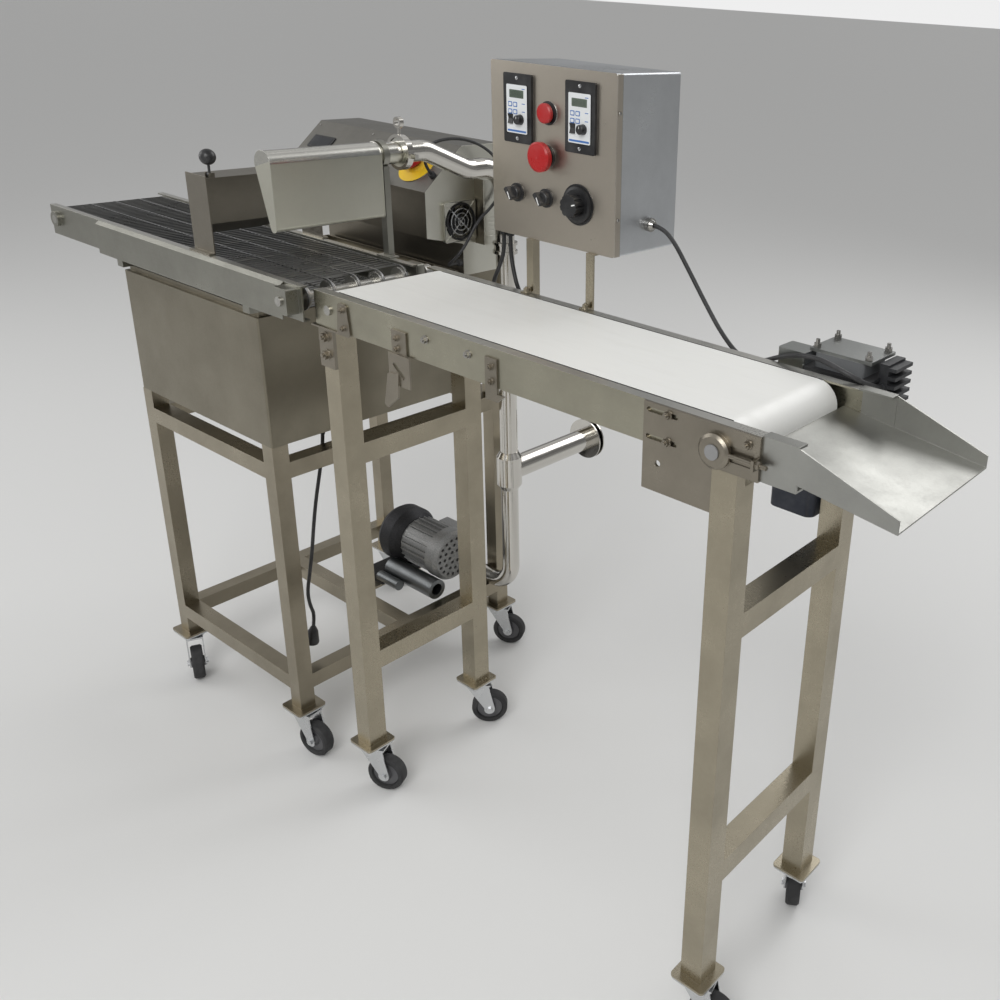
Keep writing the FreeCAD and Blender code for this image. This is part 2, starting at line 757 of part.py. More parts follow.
def chocolate_tank():
    """Jacketed tank: double wall box with a sloping basin and a raised lip."""
    tank = block(trolley_left, trolley_right, trolley_near, trolley_far, tank_bottom, tank_top)
    tank = eased(tank, 4, ALONG_Z)
    x0 = trolley_left + tank_wall
    x1 = trolley_right - tank_wall
    y0 = trolley_near + tank_wall
    y1 = base_front - tank_wall
    basin_low = tank_bottom + tank_floor
    basin = prism([V(x0, y0, tank_top + 1), V(x0, y0, basin_low + 50), V(x0, y1, basin_low),
                   V(x0, y1, tank_top + 1)], V(x1 - x0, 0, 0))
    tank = tank.cut(basin)
    lip_top = tank_top + tank_lip_height
    inset = 8
    lip = block(trolley_left + inset, trolley_right - inset, trolley_near + inset,
                base_front - inset, tank_top, lip_top)
    lip = lip.cut(block(trolley_left + inset + tank_lip_sheet, trolley_right - inset - tank_lip_sheet,
                        trolley_near + inset + tank_lip_sheet, base_front - inset - tank_lip_sheet,
                        tank_top - 1, lip_top + 1))
    return joined(tank, lip)


def mesh_conveyor_frame():
    """Two folded rails, cross bars, feet on the tank rim, and the end bearing blocks."""
    rails = []
    for web, inner in ((mesh_near, mesh_far), (mesh_far, mesh_near)):
        rail = channel(web, inner, mesh_rail_bottom, mesh_rail_top, mesh_start, mesh_end, mesh_flange)
        rails.append(rail)
    pieces = list(rails)
    count = 5
    spacing = (mesh_drive_x - mesh_idler_x) / (count + 1)
    for k in range(count):
        x = mesh_idler_x + spacing * (k + 1)
        pieces.append(rod(V(x, mesh_near + 1, mesh_roller_z), ALONG_Y, mesh_width - 2, 5))
    for x in (trolley_left + 2, trolley_right - 22):
        pieces.append(block(x, x + 20, mesh_near, mesh_far, tank_top + tank_lip_height,
                            mesh_rail_bottom))
    frame = joined(*pieces)
    frame = frame.cut(rod(V(mesh_drive_x, mesh_near - 1, mesh_roller_z), ALONG_Y, mesh_width + 2,
                          mesh_shaft_radius + shaft_clearance))
    frame = frame.cut(rod(V(mesh_idler_x, mesh_near - 1, mesh_roller_z), ALONG_Y, mesh_width + 2,
                          mesh_shaft_radius + shaft_clearance))
    return frame


def bearing_blocks():
    """Square bearing blocks outside the rails at the mesh drive, and round ones at the infeed."""
    parts = []
    for face, outward in ((mesh_near, -1), (mesh_far, 1)):
        low = min(face, face + 22 * outward)
        square = eased(block(mesh_drive_x - 18, mesh_drive_x + 18, low, low + 22,
                             mesh_roller_z - 22, mesh_roller_z + 22), 4, ALONG_Y)
        bore = rod(V(mesh_drive_x, low - 1, mesh_roller_z), ALONG_Y, 24,
                   mesh_shaft_radius + shaft_clearance)
        parts.append(square.cut(bore))
        round_low = min(face, face + 8 * outward)
        parts.append(sleeve(V(mesh_idler_x, round_low, mesh_roller_z), ALONG_Y, 8, 15,
                            mesh_shaft_radius + shaft_clearance))
    return parts


def mesh_side_cover():
    """Long folded cover outside the near rail, over the drip edge."""
    outer = mesh_near - cover_depth
    points = [V(cover_start, mesh_near, mesh_rail_top), V(cover_start, outer, mesh_rail_top - 6),
              V(cover_start, outer, mesh_rail_bottom - 4), V(cover_start, outer + 2, mesh_rail_bottom - 4),
              V(cover_start, outer + 2, mesh_rail_top - 8), V(cover_start, mesh_near, mesh_rail_top - 3)]
    return prism(points, V(cover_end - cover_start, 0, 0))


def mesh_conveyor_pieces():
    """Everything fixed on the mesh conveyor."""
    return [mesh_conveyor_frame(), mesh_side_cover(), knife_support()] + bearing_blocks()


def wire_mesh_belt():
    """Endless wire belt: cross wires at an even pitch on long strands round both rollers."""
    near = mesh_near + mesh_flange + mesh_edge_gap
    width = mesh_width - 2 * (mesh_flange + mesh_edge_gap)
    radius = mesh_roller_radius
    z = mesh_roller_z
    strands = []
    count = 5
    strand = 3.0
    for k in range(count):
        y = near + k * (width - strand) / (count - 1)
        strands.append(band(mesh_idler_x, z, radius, mesh_drive_x, z, radius, y, strand, mesh_wire))
    wires = []
    steps = int((mesh_drive_x - mesh_idler_x) / mesh_pitch)
    for k in range(steps + 1):
        x = mesh_idler_x + k * mesh_pitch
        for low in (z + radius, z - radius - mesh_wire):
            wires.append(block(x, x + mesh_wire, near, near + width, low, low + mesh_wire))
    belt = strands[0].multiFuse(strands[1:] + wires)
    return belt


def mesh_drive_roller():
    """Toothed drive shaft under the mesh with its far hub."""
    near = mesh_near + mesh_flange + mesh_edge_gap
    width = mesh_width - 2 * (mesh_flange + mesh_edge_gap)
    wheel = []
    count = 5
    for k in range(count):
        y = near + k * (width - 8) / (count - 1)
        wheel.append(rod(V(mesh_drive_x, y, mesh_roller_z), ALONG_Y, 8, sprocket_radius))
    shaft = rod(V(mesh_drive_x, mesh_near - 26, mesh_roller_z), ALONG_Y, mesh_width + 70,
                mesh_shaft_radius)
    hub = rod(V(mesh_drive_x, mesh_far + 30, mesh_roller_z), ALONG_Y, 14, 15)
    return joined(shaft, hub, *wheel)


def mesh_idler_roller():
    """Plain roller under the mesh at the infeed end."""
    near = mesh_near + mesh_flange + mesh_edge_gap
    width = mesh_width - 2 * (mesh_flange + mesh_edge_gap)
    drum = rod(V(mesh_idler_x, near, mesh_roller_z), ALONG_Y, width, mesh_roller_radius - seat_gap)
    shaft = rod(V(mesh_idler_x, mesh_near - 8, mesh_roller_z), ALONG_Y, mesh_width + 16,
                mesh_shaft_radius)
    return joined(drum, shaft)


# ---------------------------------------------------------------- flow box and air knife


def flow_box():
    """Curtain box across the mesh: a closed trough with a slit floor, on two end plates."""
    left = flow_box_x - flow_box_length / 2
    right = left + flow_box_length
    near = mesh_near + flow_box_near_gap
    far = mesh_far - 6
    t = flow_box_sheet
    half = curtain_slit / 2
    outer = prism([V(left, near, flow_box_top), V(right, near, flow_box_top),
                   V(right, near, flow_box_bottom + 20), V(flow_box_x + half + t, near, flow_box_bottom),
                   V(flow_box_x - half - t, near, flow_box_bottom), V(left, near, flow_box_bottom + 20)],
                  V(0, far - near, 0))
    inner = prism([V(left + t, near + t, flow_box_top - t), V(right - t, near + t, flow_box_top - t),
                   V(right - t, near + t, flow_box_bottom + 21),
                   V(flow_box_x + half, near + t, flow_box_bottom - 1),
                   V(flow_box_x - half, near + t, flow_box_bottom - 1),
                   V(left + t, near + t, flow_box_bottom + 21)], V(0, far - near - 2 * t, 0))
    pieces = [outer.cut(inner)]
    for y in (near - t, far):
        pieces.append(block(left, right, y, y + t, mesh_rail_top, flow_box_top + 3))
    for y in (near - t - 10, far):
        pieces.append(block(left, right, y, y + t + 10, mesh_rail_top, mesh_rail_top + 3))
    feed = sleeve(V(flow_box_x, far, flow_box_top - 33), ALONG_Y, cabinet_front - far, pipe_radius,
                  pipe_radius - pipe_wall)
    for x in (-1, 1):
        ear = block(lever_x + x * 6 - 1, lever_x + x * 6 + 1, 5, 15, flow_box_top,
                    flow_box_top + 8)
        pieces.append(ear)
    pieces.append(rod(V(lever_x - 7, 10, flow_box_top + 4.5), ALONG_X, 14, 1.5))
    box = joined(*pieces)
    return [box, feed]


def flow_lever():
    """Lever with a ball knob that turns on its pin over the flow box."""
    pivot = V(lever_x, 10, flow_box_top + 4.5)
    eye = rod(pivot - ALONG_X * 4.7, ALONG_X, 9.4, 3.5)
    arm = rod(pivot, ALONG_Z, lever_length + 2, 2.2)
    ball = Part.makeSphere(lever_ball_radius, pivot + ALONG_Z * (lever_length + lever_ball_radius))
    lever = joined(eye, arm, ball)
    return lever.cut(rod(pivot - ALONG_X * 10, ALONG_X, 20, 1.5 + shaft_clearance))


def air_knife():
    """Teardrop blowing head with end caps, a slot below, and its neck with a ferrule."""
    t = knife_sheet
    low_z = knife_z - knife_drop
    outer = Part.Face(loop_wire(knife_lip_x, low_z, knife_lip_radius, knife_x, knife_z,
                                knife_radius, knife_near))
    inner = Part.Face(loop_wire(knife_lip_x, low_z, knife_lip_radius - t, knife_x, knife_z,
                                knife_radius - t, knife_near))
    skin = outer.cut(inner).extrude(V(0, knife_far - knife_near, 0))
    slot = block(knife_lip_x - 1.5, knife_lip_x + 1.5, knife_near + 4, knife_far - 4,
                 low_z - knife_lip_radius - 1, low_z - knife_lip_radius + t + 1)
    cap = Part.Face(loop_wire(knife_lip_x, low_z, knife_lip_radius + 1, knife_x, knife_z,
                              knife_radius + 1, knife_near))
    near_cap = cap.extrude(V(0, t, 0))
    far_cap = cap.extrude(V(0, t, 0))
    far_cap.translate(V(0, knife_far - knife_near - t, 0))
    neck = rod(V(knife_x, knife_far, knife_z), ALONG_Y, ferrule_start - knife_far + 4,
               pipe_radius)
    ferrule = rod(V(knife_x, ferrule_start, knife_z), ALONG_Y, 4, ferrule_radius)
    head = joined(skin.cut(slot), near_cap, far_cap, neck, ferrule)
    bore = rod(V(knife_x, knife_far - t - 1, knife_z), ALONG_Y, ferrule_start + 8 - knife_far,
               pipe_radius - pipe_wall)
    return head.cut(bore)


def knife_support():
    """Upright on the far rail that holds the knife's neck in a ring."""
    y = knife_far + 4
    ring = sleeve(V(knife_x, y, knife_z), ALONG_Y, support_width, pipe_radius + 5,
                  pipe_radius + shaft_clearance)
    post = block(knife_x + 4, knife_x + pipe_radius, y, y + support_width, mesh_rail_top,
                 knife_z - pipe_radius)
    foot = block(knife_x - 6, knife_x + 32, mesh_far - mesh_flange, y + support_width,
                 mesh_rail_top, mesh_rail_top + 3)
    return joined(ring, post, foot)


def route_wire(points, bend=None):
    """Straight runs joined by tangent arcs. Without a bend radius each arc is as wide as fits."""
    edges = []
    radii = []
    start = points[0]
    for before, corner, after in zip(points, points[1:], points[2:]):
        back = (before - corner)
        ahead = (after - corner)
        runs = (back.Length, ahead.Length)
        back.normalize()
        ahead.normalize()
        half_turn = (math.pi - back.getAngle(ahead)) / 2
        radius = bend or 0.45 * min(runs) / math.tan(half_turn)
        reach = radius * math.tan(half_turn)
        first = corner + back * reach
        last = corner + ahead * reach
        middle = back + ahead
        middle.normalize()
        crown = corner + middle * (radius / math.cos(half_turn) - radius)
        if (first - start).Length > 1e-6:
            edges.append(Part.LineSegment(start, first).toShape())
        edges.append(Part.Arc(first, crown, last).toShape())
        start = last
        radii.append(radius)
    edges.append(Part.LineSegment(start, points[-1]).toShape())
    return Part.Wire(edges), radii


def swept(points, radius, bend=None):
    """A round bar along a route."""
    wire, radii = route_wire(points, bend)
    ahead = points[1] - points[0]
    section = Part.Wire(Part.makeCircle(radius, points[0], ahead))
    bar = wire.makePipeShell([section], True, False)
    return bar, wire, radii


def swept_tube(points, bend, outer, inner):
    """A hollow bent tube."""
    return swept(points, outer, bend)[0].cut(swept(points, inner, bend)[0])


def air_pipework():
    """Bent delivery pipe, riser with its lower elbow, branch to the bleed, clamps and spider."""
    bore = pipe_radius - pipe_wall
    start_y = ferrule_start + 4 + seat_gap
    union_z = 1003.0
    delivery = swept_tube([V(knife_x, start_y, knife_z), V(knife_x, start_y + 52, knife_z),
                           V(riser_x, riser_y - 93, riser_top), V(riser_x, riser_y, riser_top),
                           V(riser_x, riser_y, union_z)], pipe_bend_radius, pipe_radius, bore)
    first_ferrule = sleeve(V(knife_x, start_y, knife_z), ALONG_Y, 4, ferrule_radius, bore)
    union_top = sleeve(V(riser_x, riser_y, union_z), ALONG_Z, 5, ferrule_radius, bore)
    union_low = sleeve(V(riser_x, riser_y, union_z - 18), ALONG_Z, 6, ferrule_radius, bore)
    union_nut = sleeve(V(riser_x, riser_y, union_z - 12), ALONG_Z, 12, 22, bore)
    riser = swept_tube([V(riser_x, riser_y, union_z - 18), V(riser_x, riser_y, run_z),
                        V(outlet_x, riser_y, run_z)], pipe_bend_radius, pipe_radius, bore)
    saddle = eased_saddle()
    branch = rod(V(riser_x, riser_y, branch_z), ALONG_Y, branch_end_y - riser_y, branch_radius)
    flange = rod(V(riser_x, branch_end_y - disc_thickness, branch_z), ALONG_Y, disc_thickness,
                 disc_radius)
    lower = joined(riser, union_low, saddle, branch, flange)
    lower = lower.cut(rod(V(riser_x, riser_y, branch_z), ALONG_Y, branch_end_y - riser_y + 1,
                          branch_radius - pipe_wall))
    lower = lower.cut(rod(V(riser_x, riser_y, branch_z - 60), ALONG_Z, 120, bore))
    spider = block(riser_x - branch_radius + 1, riser_x + branch_radius - 1, branch_end_y - 12,
                   branch_end_y - 6, branch_z - 4, branch_z + 4)
    stud = rod(V(riser_x, branch_end_y - 12, branch_z), ALONG_Y, 42, 5)
    lower = joined(lower, spider, stud)
    upper = joined(delivery, first_ferrule, union_top, union_nut)
    clamp = sleeve(V(knife_x, ferrule_start - 2, knife_z), ALONG_Y, 12 + seat_gap, 31,
                   ferrule_radius + seat_gap)
    stem = rod(V(knife_x, ferrule_start + 4, knife_z + 30), ALONG_Z, 14, 3)
    eye = sleeve(V(knife_x, ferrule_start, knife_z + 51), ALONG_Y, 8, 10, 6)
    grip = block(knife_x + 28, knife_x + 46, ferrule_start, ferrule_start + 8,
                 knife_z - 7, knife_z + 1)
    return [upper, lower, joined(clamp, stem, eye, grip)]


def eased_saddle():
    """Thick sleeve round the riser where the branch leaves."""
    return revolved([(0, 0), (0, pipe_radius + 1), (12, branch_radius + 2), (78, branch_radius + 2),
                     (90, pipe_radius + 1), (90, 0)], V(riser_x, riser_y, branch_z - 45), ALONG_Z)


def bleed_disc():
    """Disc with its hub nut that screws along the stud to open or close the bleed."""
    y = branch_end_y + bleed_opening
    disc = rod(V(riser_x, y, branch_z), ALONG_Y, disc_thickness, disc_radius)
    hub = hexagon(V(riser_x, y + disc_thickness, branch_z), ALONG_Y, 18, 8)
    bore = rod(V(riser_x, y - 1, branch_z), ALONG_Y, 14, 5 + shaft_clearance)
    return joined(disc, hub).cut(bore)


# ---------------------------------------------------------------- ring blower

outlet_x = -318.0
ring_end = motor_end_x - motor_length
blower_foot_top = trolley_lower_rail_top + 20


def ring_blower():
    """Side channel housing with its foot, outlet port and two silencers."""
    start = ring_end - ring_length
    shell = revolved([(0, 0), (0, ring_radius - 20), (6, ring_radius - 7), (18, ring_radius),
                      (50, ring_radius), (64, ring_radius - 7), (ring_length, ring_radius - 16),
                      (ring_length, 0)],
                     V(start, blower_axis_y, blower_axis_z), ALONG_X)
    foot = block(start + 6, ring_end, 333, riser_y + 25, trolley_lower_rail_top, blower_foot_top)
    outlet = rod(V(ring_end - 30, riser_y, run_z), ALONG_X, outlet_x - ring_end + 30,
                 pipe_radius + 2.5)
    neck = block(ring_end - 40, ring_end - 2, blower_axis_y + 30, riser_y + 20, blower_foot_top - 4,
                 blower_foot_top + 30)
    long_silencer = rod(V(ring_end - 20, 378, trolley_lower_rail_top + silencer_radius), ALONG_X,
                        motor_end_x + 8 - ring_end + 20, silencer_radius)
    short_silencer = rod(V(ring_end - 20, 343, trolley_lower_rail_top + 14), ALONG_X, 70, 12)
    body = joined(shell, foot, neck, outlet, long_silencer, short_silencer)
    mouth = rod(V(motor_end_x - 40, 378, trolley_lower_rail_top + silencer_radius), ALONG_X, 50, 14)
    port = rod(V(outlet_x - 40, riser_y, run_z), ALONG_X, 41, pipe_radius - pipe_wall)
    return body.cut(mouth).cut(port)


def blower_motor():
    """Finned motor with a terminal box and a perforated fan cowl."""
    axis = V(ring_end, blower_axis_y, blower_axis_z)
    core = rod(axis, ALONG_X, motor_length - 30, motor_radius - 10)
    fins = []
    count = 24
    for k in range(count):
        fin = block(ring_end + 8, ring_end + motor_length - 34, blower_axis_y - 1, blower_axis_y + 1,
                    blower_axis_z + motor_radius - 13, blower_axis_z + motor_radius - 3)
        fin.rotate(axis, ALONG_X, 360 * k / count)
        fins.append(fin)
    cowl = revolved([(0, 0), (0, motor_radius), (26, motor_radius), (34, motor_radius - 8), (34, 0)],
                    V(motor_end_x - 34, blower_axis_y, blower_axis_z), ALONG_X)
    terminal = eased(block(ring_end + 20, ring_end + 78, blower_axis_y + motor_radius - 14,
                           blower_axis_y + motor_radius + 16, blower_axis_z - 20,
                           blower_axis_z + 36), 4, ALONG_X)
    motor = joined(core, cowl, terminal, *fins)
    holes = []
    for ring_number in (1, 2, 3):
        total = 6 * ring_number
        for k in range(total):
            turn = 2 * math.pi * k / total
            reach = 14.5 * ring_number
            hole = rod(V(motor_end_x - 6, blower_axis_y + reach * math.cos(turn),
                         blower_axis_z + reach * math.sin(turn)), ALONG_X, 8, 4)
            holes.append(hole)
    return motor.cut(holes)


# ---------------------------------------------------------------- tempering cabinet


panel_run = cabinet_panel_back - cabinet_front
panel_rise = cabinet_top - cabinet_front_top
panel_length = math.hypot(panel_run, panel_rise)
panel_up = V(0, panel_run / panel_length, panel_rise / panel_length)
panel_out = V(0, -panel_rise / panel_length, panel_run / panel_length)


def on_panel(x, up):
    """A point on the sloping control panel."""
    return V(x, cabinet_front, cabinet_front_top) + panel_up * up


def tempering_cabinet():
    """Folded cabinet over the tank with a sloping panel, its base, and the stop button's ring."""
    back = trolley_far
    outline = [V(trolley_left, cabinet_front, cabinet_belly), V(trolley_left, cabinet_front, cabinet_front_top),
               V(trolley_left, cabinet_panel_back, cabinet_top), V(trolley_left, back, cabinet_top),
               V(trolley_left, back, tank_top), V(trolley_left, base_front, tank_top),
               V(trolley_left, base_front, cabinet_belly - 22)]
    body = prism(outline, V(trolley_length, 0, 0))
    pocket = rod(V(trolley_right - 28, fan_y, fan_z), ALONG_X, 30, fan_radius)
    body = body.cut(pocket)
    seat = on_panel(cabinet_stop_x, cabinet_stop_up_slope)
    ring = revolved([(0, 8 + shaft_clearance), (0, stop_plate_radius), (1.5, stop_plate_radius),
                     (1.5, 20), (9, 17), (9, 8 + shaft_clearance)], seat, panel_out)
    bore = rod(seat - panel_out * 12, panel_out, 13, 8 + shaft_clearance)
    panel_gland = rod(on_panel(cabinet_gland_x, cabinet_gland_up_slope), panel_out,
                      gland_length, gland_radius)
    base_gland = rod(V(base_gland_x, base_front - gland_length, base_gland_z), ALONG_Y,
                     gland_length, gland_radius)
    return [body.cut(bore), ring, panel_gland, base_gland, cabinet_side_cover()]


def cabinet_stop():
    """Mushroom head of the cabinet's emergency stop."""
    seat = on_panel(cabinet_stop_x, cabinet_stop_up_slope)
    return revolved([(-6, 0), (-6, 8), (14, 8), (14, 19), (17, 24), (25, 23), (29, 15), (30, 0)],
                    seat, panel_out)


def cabinet_side_cover():
    """Tall cover box on the cabinet's right side with a vent slot row."""
    outer = trolley_right + side_cover_depth
    cover = block(trolley_right, outer, side_cover_near, side_cover_near + side_cover_width,
                  side_cover_bottom, side_cover_bottom + side_cover_height)
    cover = eased(cover, 3, ALONG_Z)
    for k in range(5):
        z = side_cover_bottom + 18 + 9 * k
        cover = cover.cut(block(outer - 2, outer + 1, side_cover_near + 10,
                                side_cover_near + side_cover_width - 10, z, z + 3))
    return cover


def fan_guard():
    """Square fan frame with a wire guard of rings and spokes."""
    half = fan_frame_side / 2
    face = trolley_right
    frame = eased(block(face, face + 8, fan_y - half, fan_y + half, fan_z - half, fan_z + half), 5,
                  ALONG_X)
    frame = frame.cut(rod(V(face - 1, fan_y, fan_z), ALONG_X, 10, fan_radius))
    rings = []
    for radius in (9, 18, 27, 36):
        rings.append(sleeve(V(face + 9, fan_y, fan_z), ALONG_X, 2, radius, radius - 2))
    spokes = []
    for angle in (45, 135):
        spoke = block(face + 8, face + 9.5, fan_y - 52, fan_y + 52, fan_z - 1.2, fan_z + 1.2)
        spoke.rotate(V(face, fan_y, fan_z), ALONG_X, angle)
        spokes.append(spoke)
    axle = rod(V(face - 20, fan_y, fan_z), ALONG_X, 28.5, 3)
    motor = rod(V(face - 28, fan_y, fan_z), ALONG_X, 8, 14)
    return joined(frame, axle, motor, *spokes, *rings)


def fan_rotor():
    """Seven-bladed fan with a hub that turns on the frame's axle."""
    face = trolley_right
    hub = rod(V(face - 19, fan_y, fan_z), ALONG_X, 15, 14)
    blades = []
    for k in range(7):
        blade = block(-1, 1, -7, 7, 12, fan_radius - 2)
        blade.Placement = FreeCAD.Placement(V(0, 0, 0), FreeCAD.Rotation(ALONG_Z, 35))
        blade.rotate(V(0, 0, 0), ALONG_X, 360 * k / 7)
        blade.translate(V(face - 12, fan_y, fan_z))
        blades.append(blade)
    return joined(hub, *blades).cut(rod(V(face - 21, fan_y, fan_z), ALONG_X, 20, 3 + shaft_clearance))


# ---------------------------------------------------------------- control box


def control_box():
    """Folded control box with a bushing behind every control, bezels and cable gland."""
    wall = 2.0
    back = box_front + box_depth
    shell = eased(block(box_left, box_right, box_front, back, box_bottom, box_top), 4, ALONG_Y)
    inside = block(box_left + wall, box_right - wall, box_front + wall, back - wall,
                   box_bottom + wall, box_top - wall)
    shell = shell.cut(inside)
    controls = [(red_button_place, 6), (box_stop_place, 8), ((dial_x, knob_row_z), 4)]
    controls += [((x, knob_row_z), 4) for x in selector_places]
    bosses = [rod(V(x, box_front + wall, z), ALONG_Y, 12, radius + 4) for (x, z), radius in controls]
    shell = joined(shell, *bosses)
    for (x, z), radius in controls:
        shell = shell.cut(rod(V(x, box_front - 1, z), ALONG_Y, 30, radius + shaft_clearance))
    parts = [shell]
    for (x, z), stem, size, height in ((red_button_place, 6, red_button_radius, 1.5),
                                       (box_stop_place, 8, box_stop_radius - 5, 5)):
        parts.append(sleeve(V(x, box_front, z), OUT, height, size, stem + shaft_clearance))
    for x in selector_places:
        parts.append(sleeve(V(x, box_front, knob_row_z), OUT, 3, selector_radius + 3,
                            4 + shaft_clearance))
    parts.append(sleeve(V(dial_x, box_front, knob_row_z), OUT, 2, dial_radius + 3,
                        4 + shaft_clearance))
    parts.append(revolved([(0, 0), (0, 11), (8, 11), (8, 9), (14, 6), (14, 0)],
                          V(box_right, motor_gland_y, motor_gland_z), ALONG_X))
    for x in box_cable_places:
        parts.append(rod(V(x, box_cable_y, box_bottom - gland_length), ALONG_Z, gland_length,
                         gland_radius - 0.5))
    return parts


def speed_controllers():
    """Two panel speed controllers: bezel, display window, key pad and rocker seat."""
    parts = []
    for x in controller_places:
        left = x - controller_width / 2
        low = controller_z - controller_height / 2
        front = box_front - controller_depth
        bezel = eased(block(left, left + controller_width, front, box_front, low,
                            low + controller_height), 3, ALONG_Y)
        pad = block(left + 8, left + controller_width - 9, front - 1, front, low + 14,
                    low + controller_height - 16)
        body = joined(bezel, pad)
        seat = V(x - 13, front - 2, low + controller_key_rise)
        body = body.cut(block(seat.x - 6, seat.x + 6, front - 2, front + 4, seat.z - 9, seat.z + 9))
        pin = rod(V(seat.x - 7, front, seat.z), ALONG_X, 14, rocker_pin_radius)
        body = joined(body, pin)
        body = body.cut(rod(V(x + 8, front - 2, low + controller_key_rise), ALONG_Y, 6, 3 + shaft_clearance))
        parts.append(body)
    return parts


def controller_rocker(x):
    """Run and stop rocker, pivoted behind its face."""
    low = controller_z - controller_height / 2
    front = box_front - controller_depth
    z = low + controller_key_rise
    rocker = prism([V(x - 18, front - 4, z + 7.5), V(x - 18, front - 2, z), V(x - 18, front - 4, z - 7.5),
                    V(x - 18, front + 2.4, z - 7), V(x - 18, front + 2.4, z + 7)], V(10, 0, 0))
    return rocker.cut(rod(V(x - 19, front, z), ALONG_X, 12, rocker_pin_radius + shaft_clearance))


def controller_knob(x):
    """Small speed knob with a pointer flat."""
    low = controller_z - controller_height / 2
    front = box_front - controller_depth
    seat = V(x + 8, front - 1, low + controller_key_rise)
    return revolved([(-4, 0), (-4, 3), (0.5, 3), (0.5, 8), (9, 7), (10, 6), (10, 0)], seat, OUT)


def selector_knob(x):
    """Rotary selector: round skirt with a raised finger bar."""
    seat = V(x, box_front - 3, knob_row_z)
    skirt = revolved([(-12, 0), (-12, 4), (seat_gap, 4), (seat_gap, selector_radius), (8, selector_radius - 1),
                      (9, selector_radius - 2), (9, 0)], seat, OUT)
    bar = block(x - 4, x + 4, seat.y - 19, seat.y - 8, knob_row_z - 11, knob_row_z + 11)
    bar = eased(bar, 2, ALONG_Y)
    bar.rotate(seat, OUT, 40)
    return joined(skirt, bar)


def speed_dial():
    """Large fluted knob with a wide skirt."""
    seat = V(dial_x, box_front - 2, knob_row_z)
    skirt = revolved([(-12, 0), (-12, 4), (seat_gap, 4), (seat_gap, dial_radius),
                      (3, dial_radius - 1), (4, dial_radius - 5), (4, 0)], seat, OUT)
    grip = rod(seat + OUT * 3.5, OUT, 18, dial_grip_radius)
    for k in range(dial_flutes):
        turn = 2 * math.pi * k / dial_flutes
        reach = dial_grip_radius + 1.5
        place = V(math.cos(turn) * reach, -5.5, math.sin(turn) * reach)
        grip = grip.cut(rod(seat + place, OUT, 20, 3))
    return joined(skirt, grip)


def box_stop():
    """Large red mushroom head of the box's emergency stop."""
    x, z = box_stop_place
    return revolved([(-16, 0), (-16, 8), (11, 8), (11, box_stop_radius - 2),
                     (12.5, box_stop_radius), (20, box_stop_radius), (22, box_stop_radius - 3),
                     (23, 0)], V(x, box_front, z), OUT)


def red_button():
    """Red push button with a flat face."""
    x, z = red_button_place
    return revolved([(-12, 0), (-12, 6), (6, 6), (6, red_button_radius - 3),
                     (11, red_button_radius - 3), (12.5, red_button_radius - 5), (12.5, 0)],
                    V(x, box_front, z), OUT)


def box_posts():
    """A square post and a flat one, bolted to the far side plate, that carry the control box."""
    near = conveyor_width
    half = post_side / 2
    parts = []
    for x, thickness in zip(post_places, post_thicknesses):
        post = block(x - half, x + half, near, near + thickness, plate_bottom + 4, box_bottom)
        tab = block(x - half, x + half, near - flange_width + 2, near, belt_top, belt_top + sheet)
        pieces = [post, tab]
        if near + thickness < box_front + sheet:
            pieces.append(block(x - half, x + half, near, box_front + 20, box_bottom - sheet,
                                box_bottom))
        parts.append(joined(*pieces))
        parts.append(bolt_head(V(x, near - 8, belt_top + sheet), ALONG_Z, 9))
    return parts


# ---------------------------------------------------------------- cords


motor_cable_route = [
    V(442, 330, 1150), V(462, 329, 1148), V(490, 322, 1132), V(526, 313, 1098), V(566, 304, 1058),
    V(604, 294, 1024), V(642, 282, 1002), V(680, 266, 996), V(714, 253, 1010), V(750, 250, 1028),
    V(790, 248, 1038), V(824, 242, 1038), V(857, 240, 1030), V(883, 257, 1016), V(885, 289, 1005),
]
power_cord_route = [
    V(-205, 133, 688), V(-205, 129, 638), V(-206, 117, 584), V(-207, 104, 530), V(-206, 93, 478),
    V(-202, 82, 428), V(-196, 68, 384), V(-192, 56, 346), V(-196, 62, 310), V(-204, 74, 282),
    V(-206, 70, 254),
]
gland_mouth = on_panel(cabinet_gland_x, cabinet_gland_up_slope) + panel_out * gland_length
cabinet_cable_route = [
    gland_mouth, gland_mouth + panel_out * 24, V(-158, 372, 1192), V(-146, 388, 1206),
    V(-134, 414, 1211), V(-128, 446, 1208), V(-122, 478, 1196), V(-118, 506, 1176),
    V(-117, 526, 1149), V(-117, 530, 1119), V(-117, 516, 1092), V(-117, 492, 1070),
    V(-117, 464, 1054), V(-118, 444, 1028), V(-123, 430, 1002), V(-134, 413, 977),
    V(-153, 412, 962), V(base_gland_x - 1, 427, base_gland_z - 1),
    V(base_gland_x, base_front - gland_length, base_gland_z),
]


def drip_loop(start_x, lean, end_x):
    """A cable from the box's bottom, down behind the far side plate and up into its gland."""
    top = box_bottom - gland_length
    low = plate_bottom - gland_length
    return [
        V(start_x, box_cable_y, top), V(start_x, box_cable_y, top - 28),
        V(start_x + 0.4 * lean, box_cable_y - 2, top - 56),
        V(start_x + lean, box_cable_y - 4, top - 85),
        V(end_x - 0.1 * lean, plate_gland_y + 34, top - 113),
        V(end_x, plate_gland_y + 48, top - 141), V(end_x, plate_gland_y + 57, top - 170),
        V(end_x, plate_gland_y + 54, low - 55), V(end_x, plate_gland_y + 30, low - 70),
        V(end_x, plate_gland_y + 5, low - 59), V(end_x, plate_gland_y, low - 29),
        V(end_x, plate_gland_y, low),
    ]


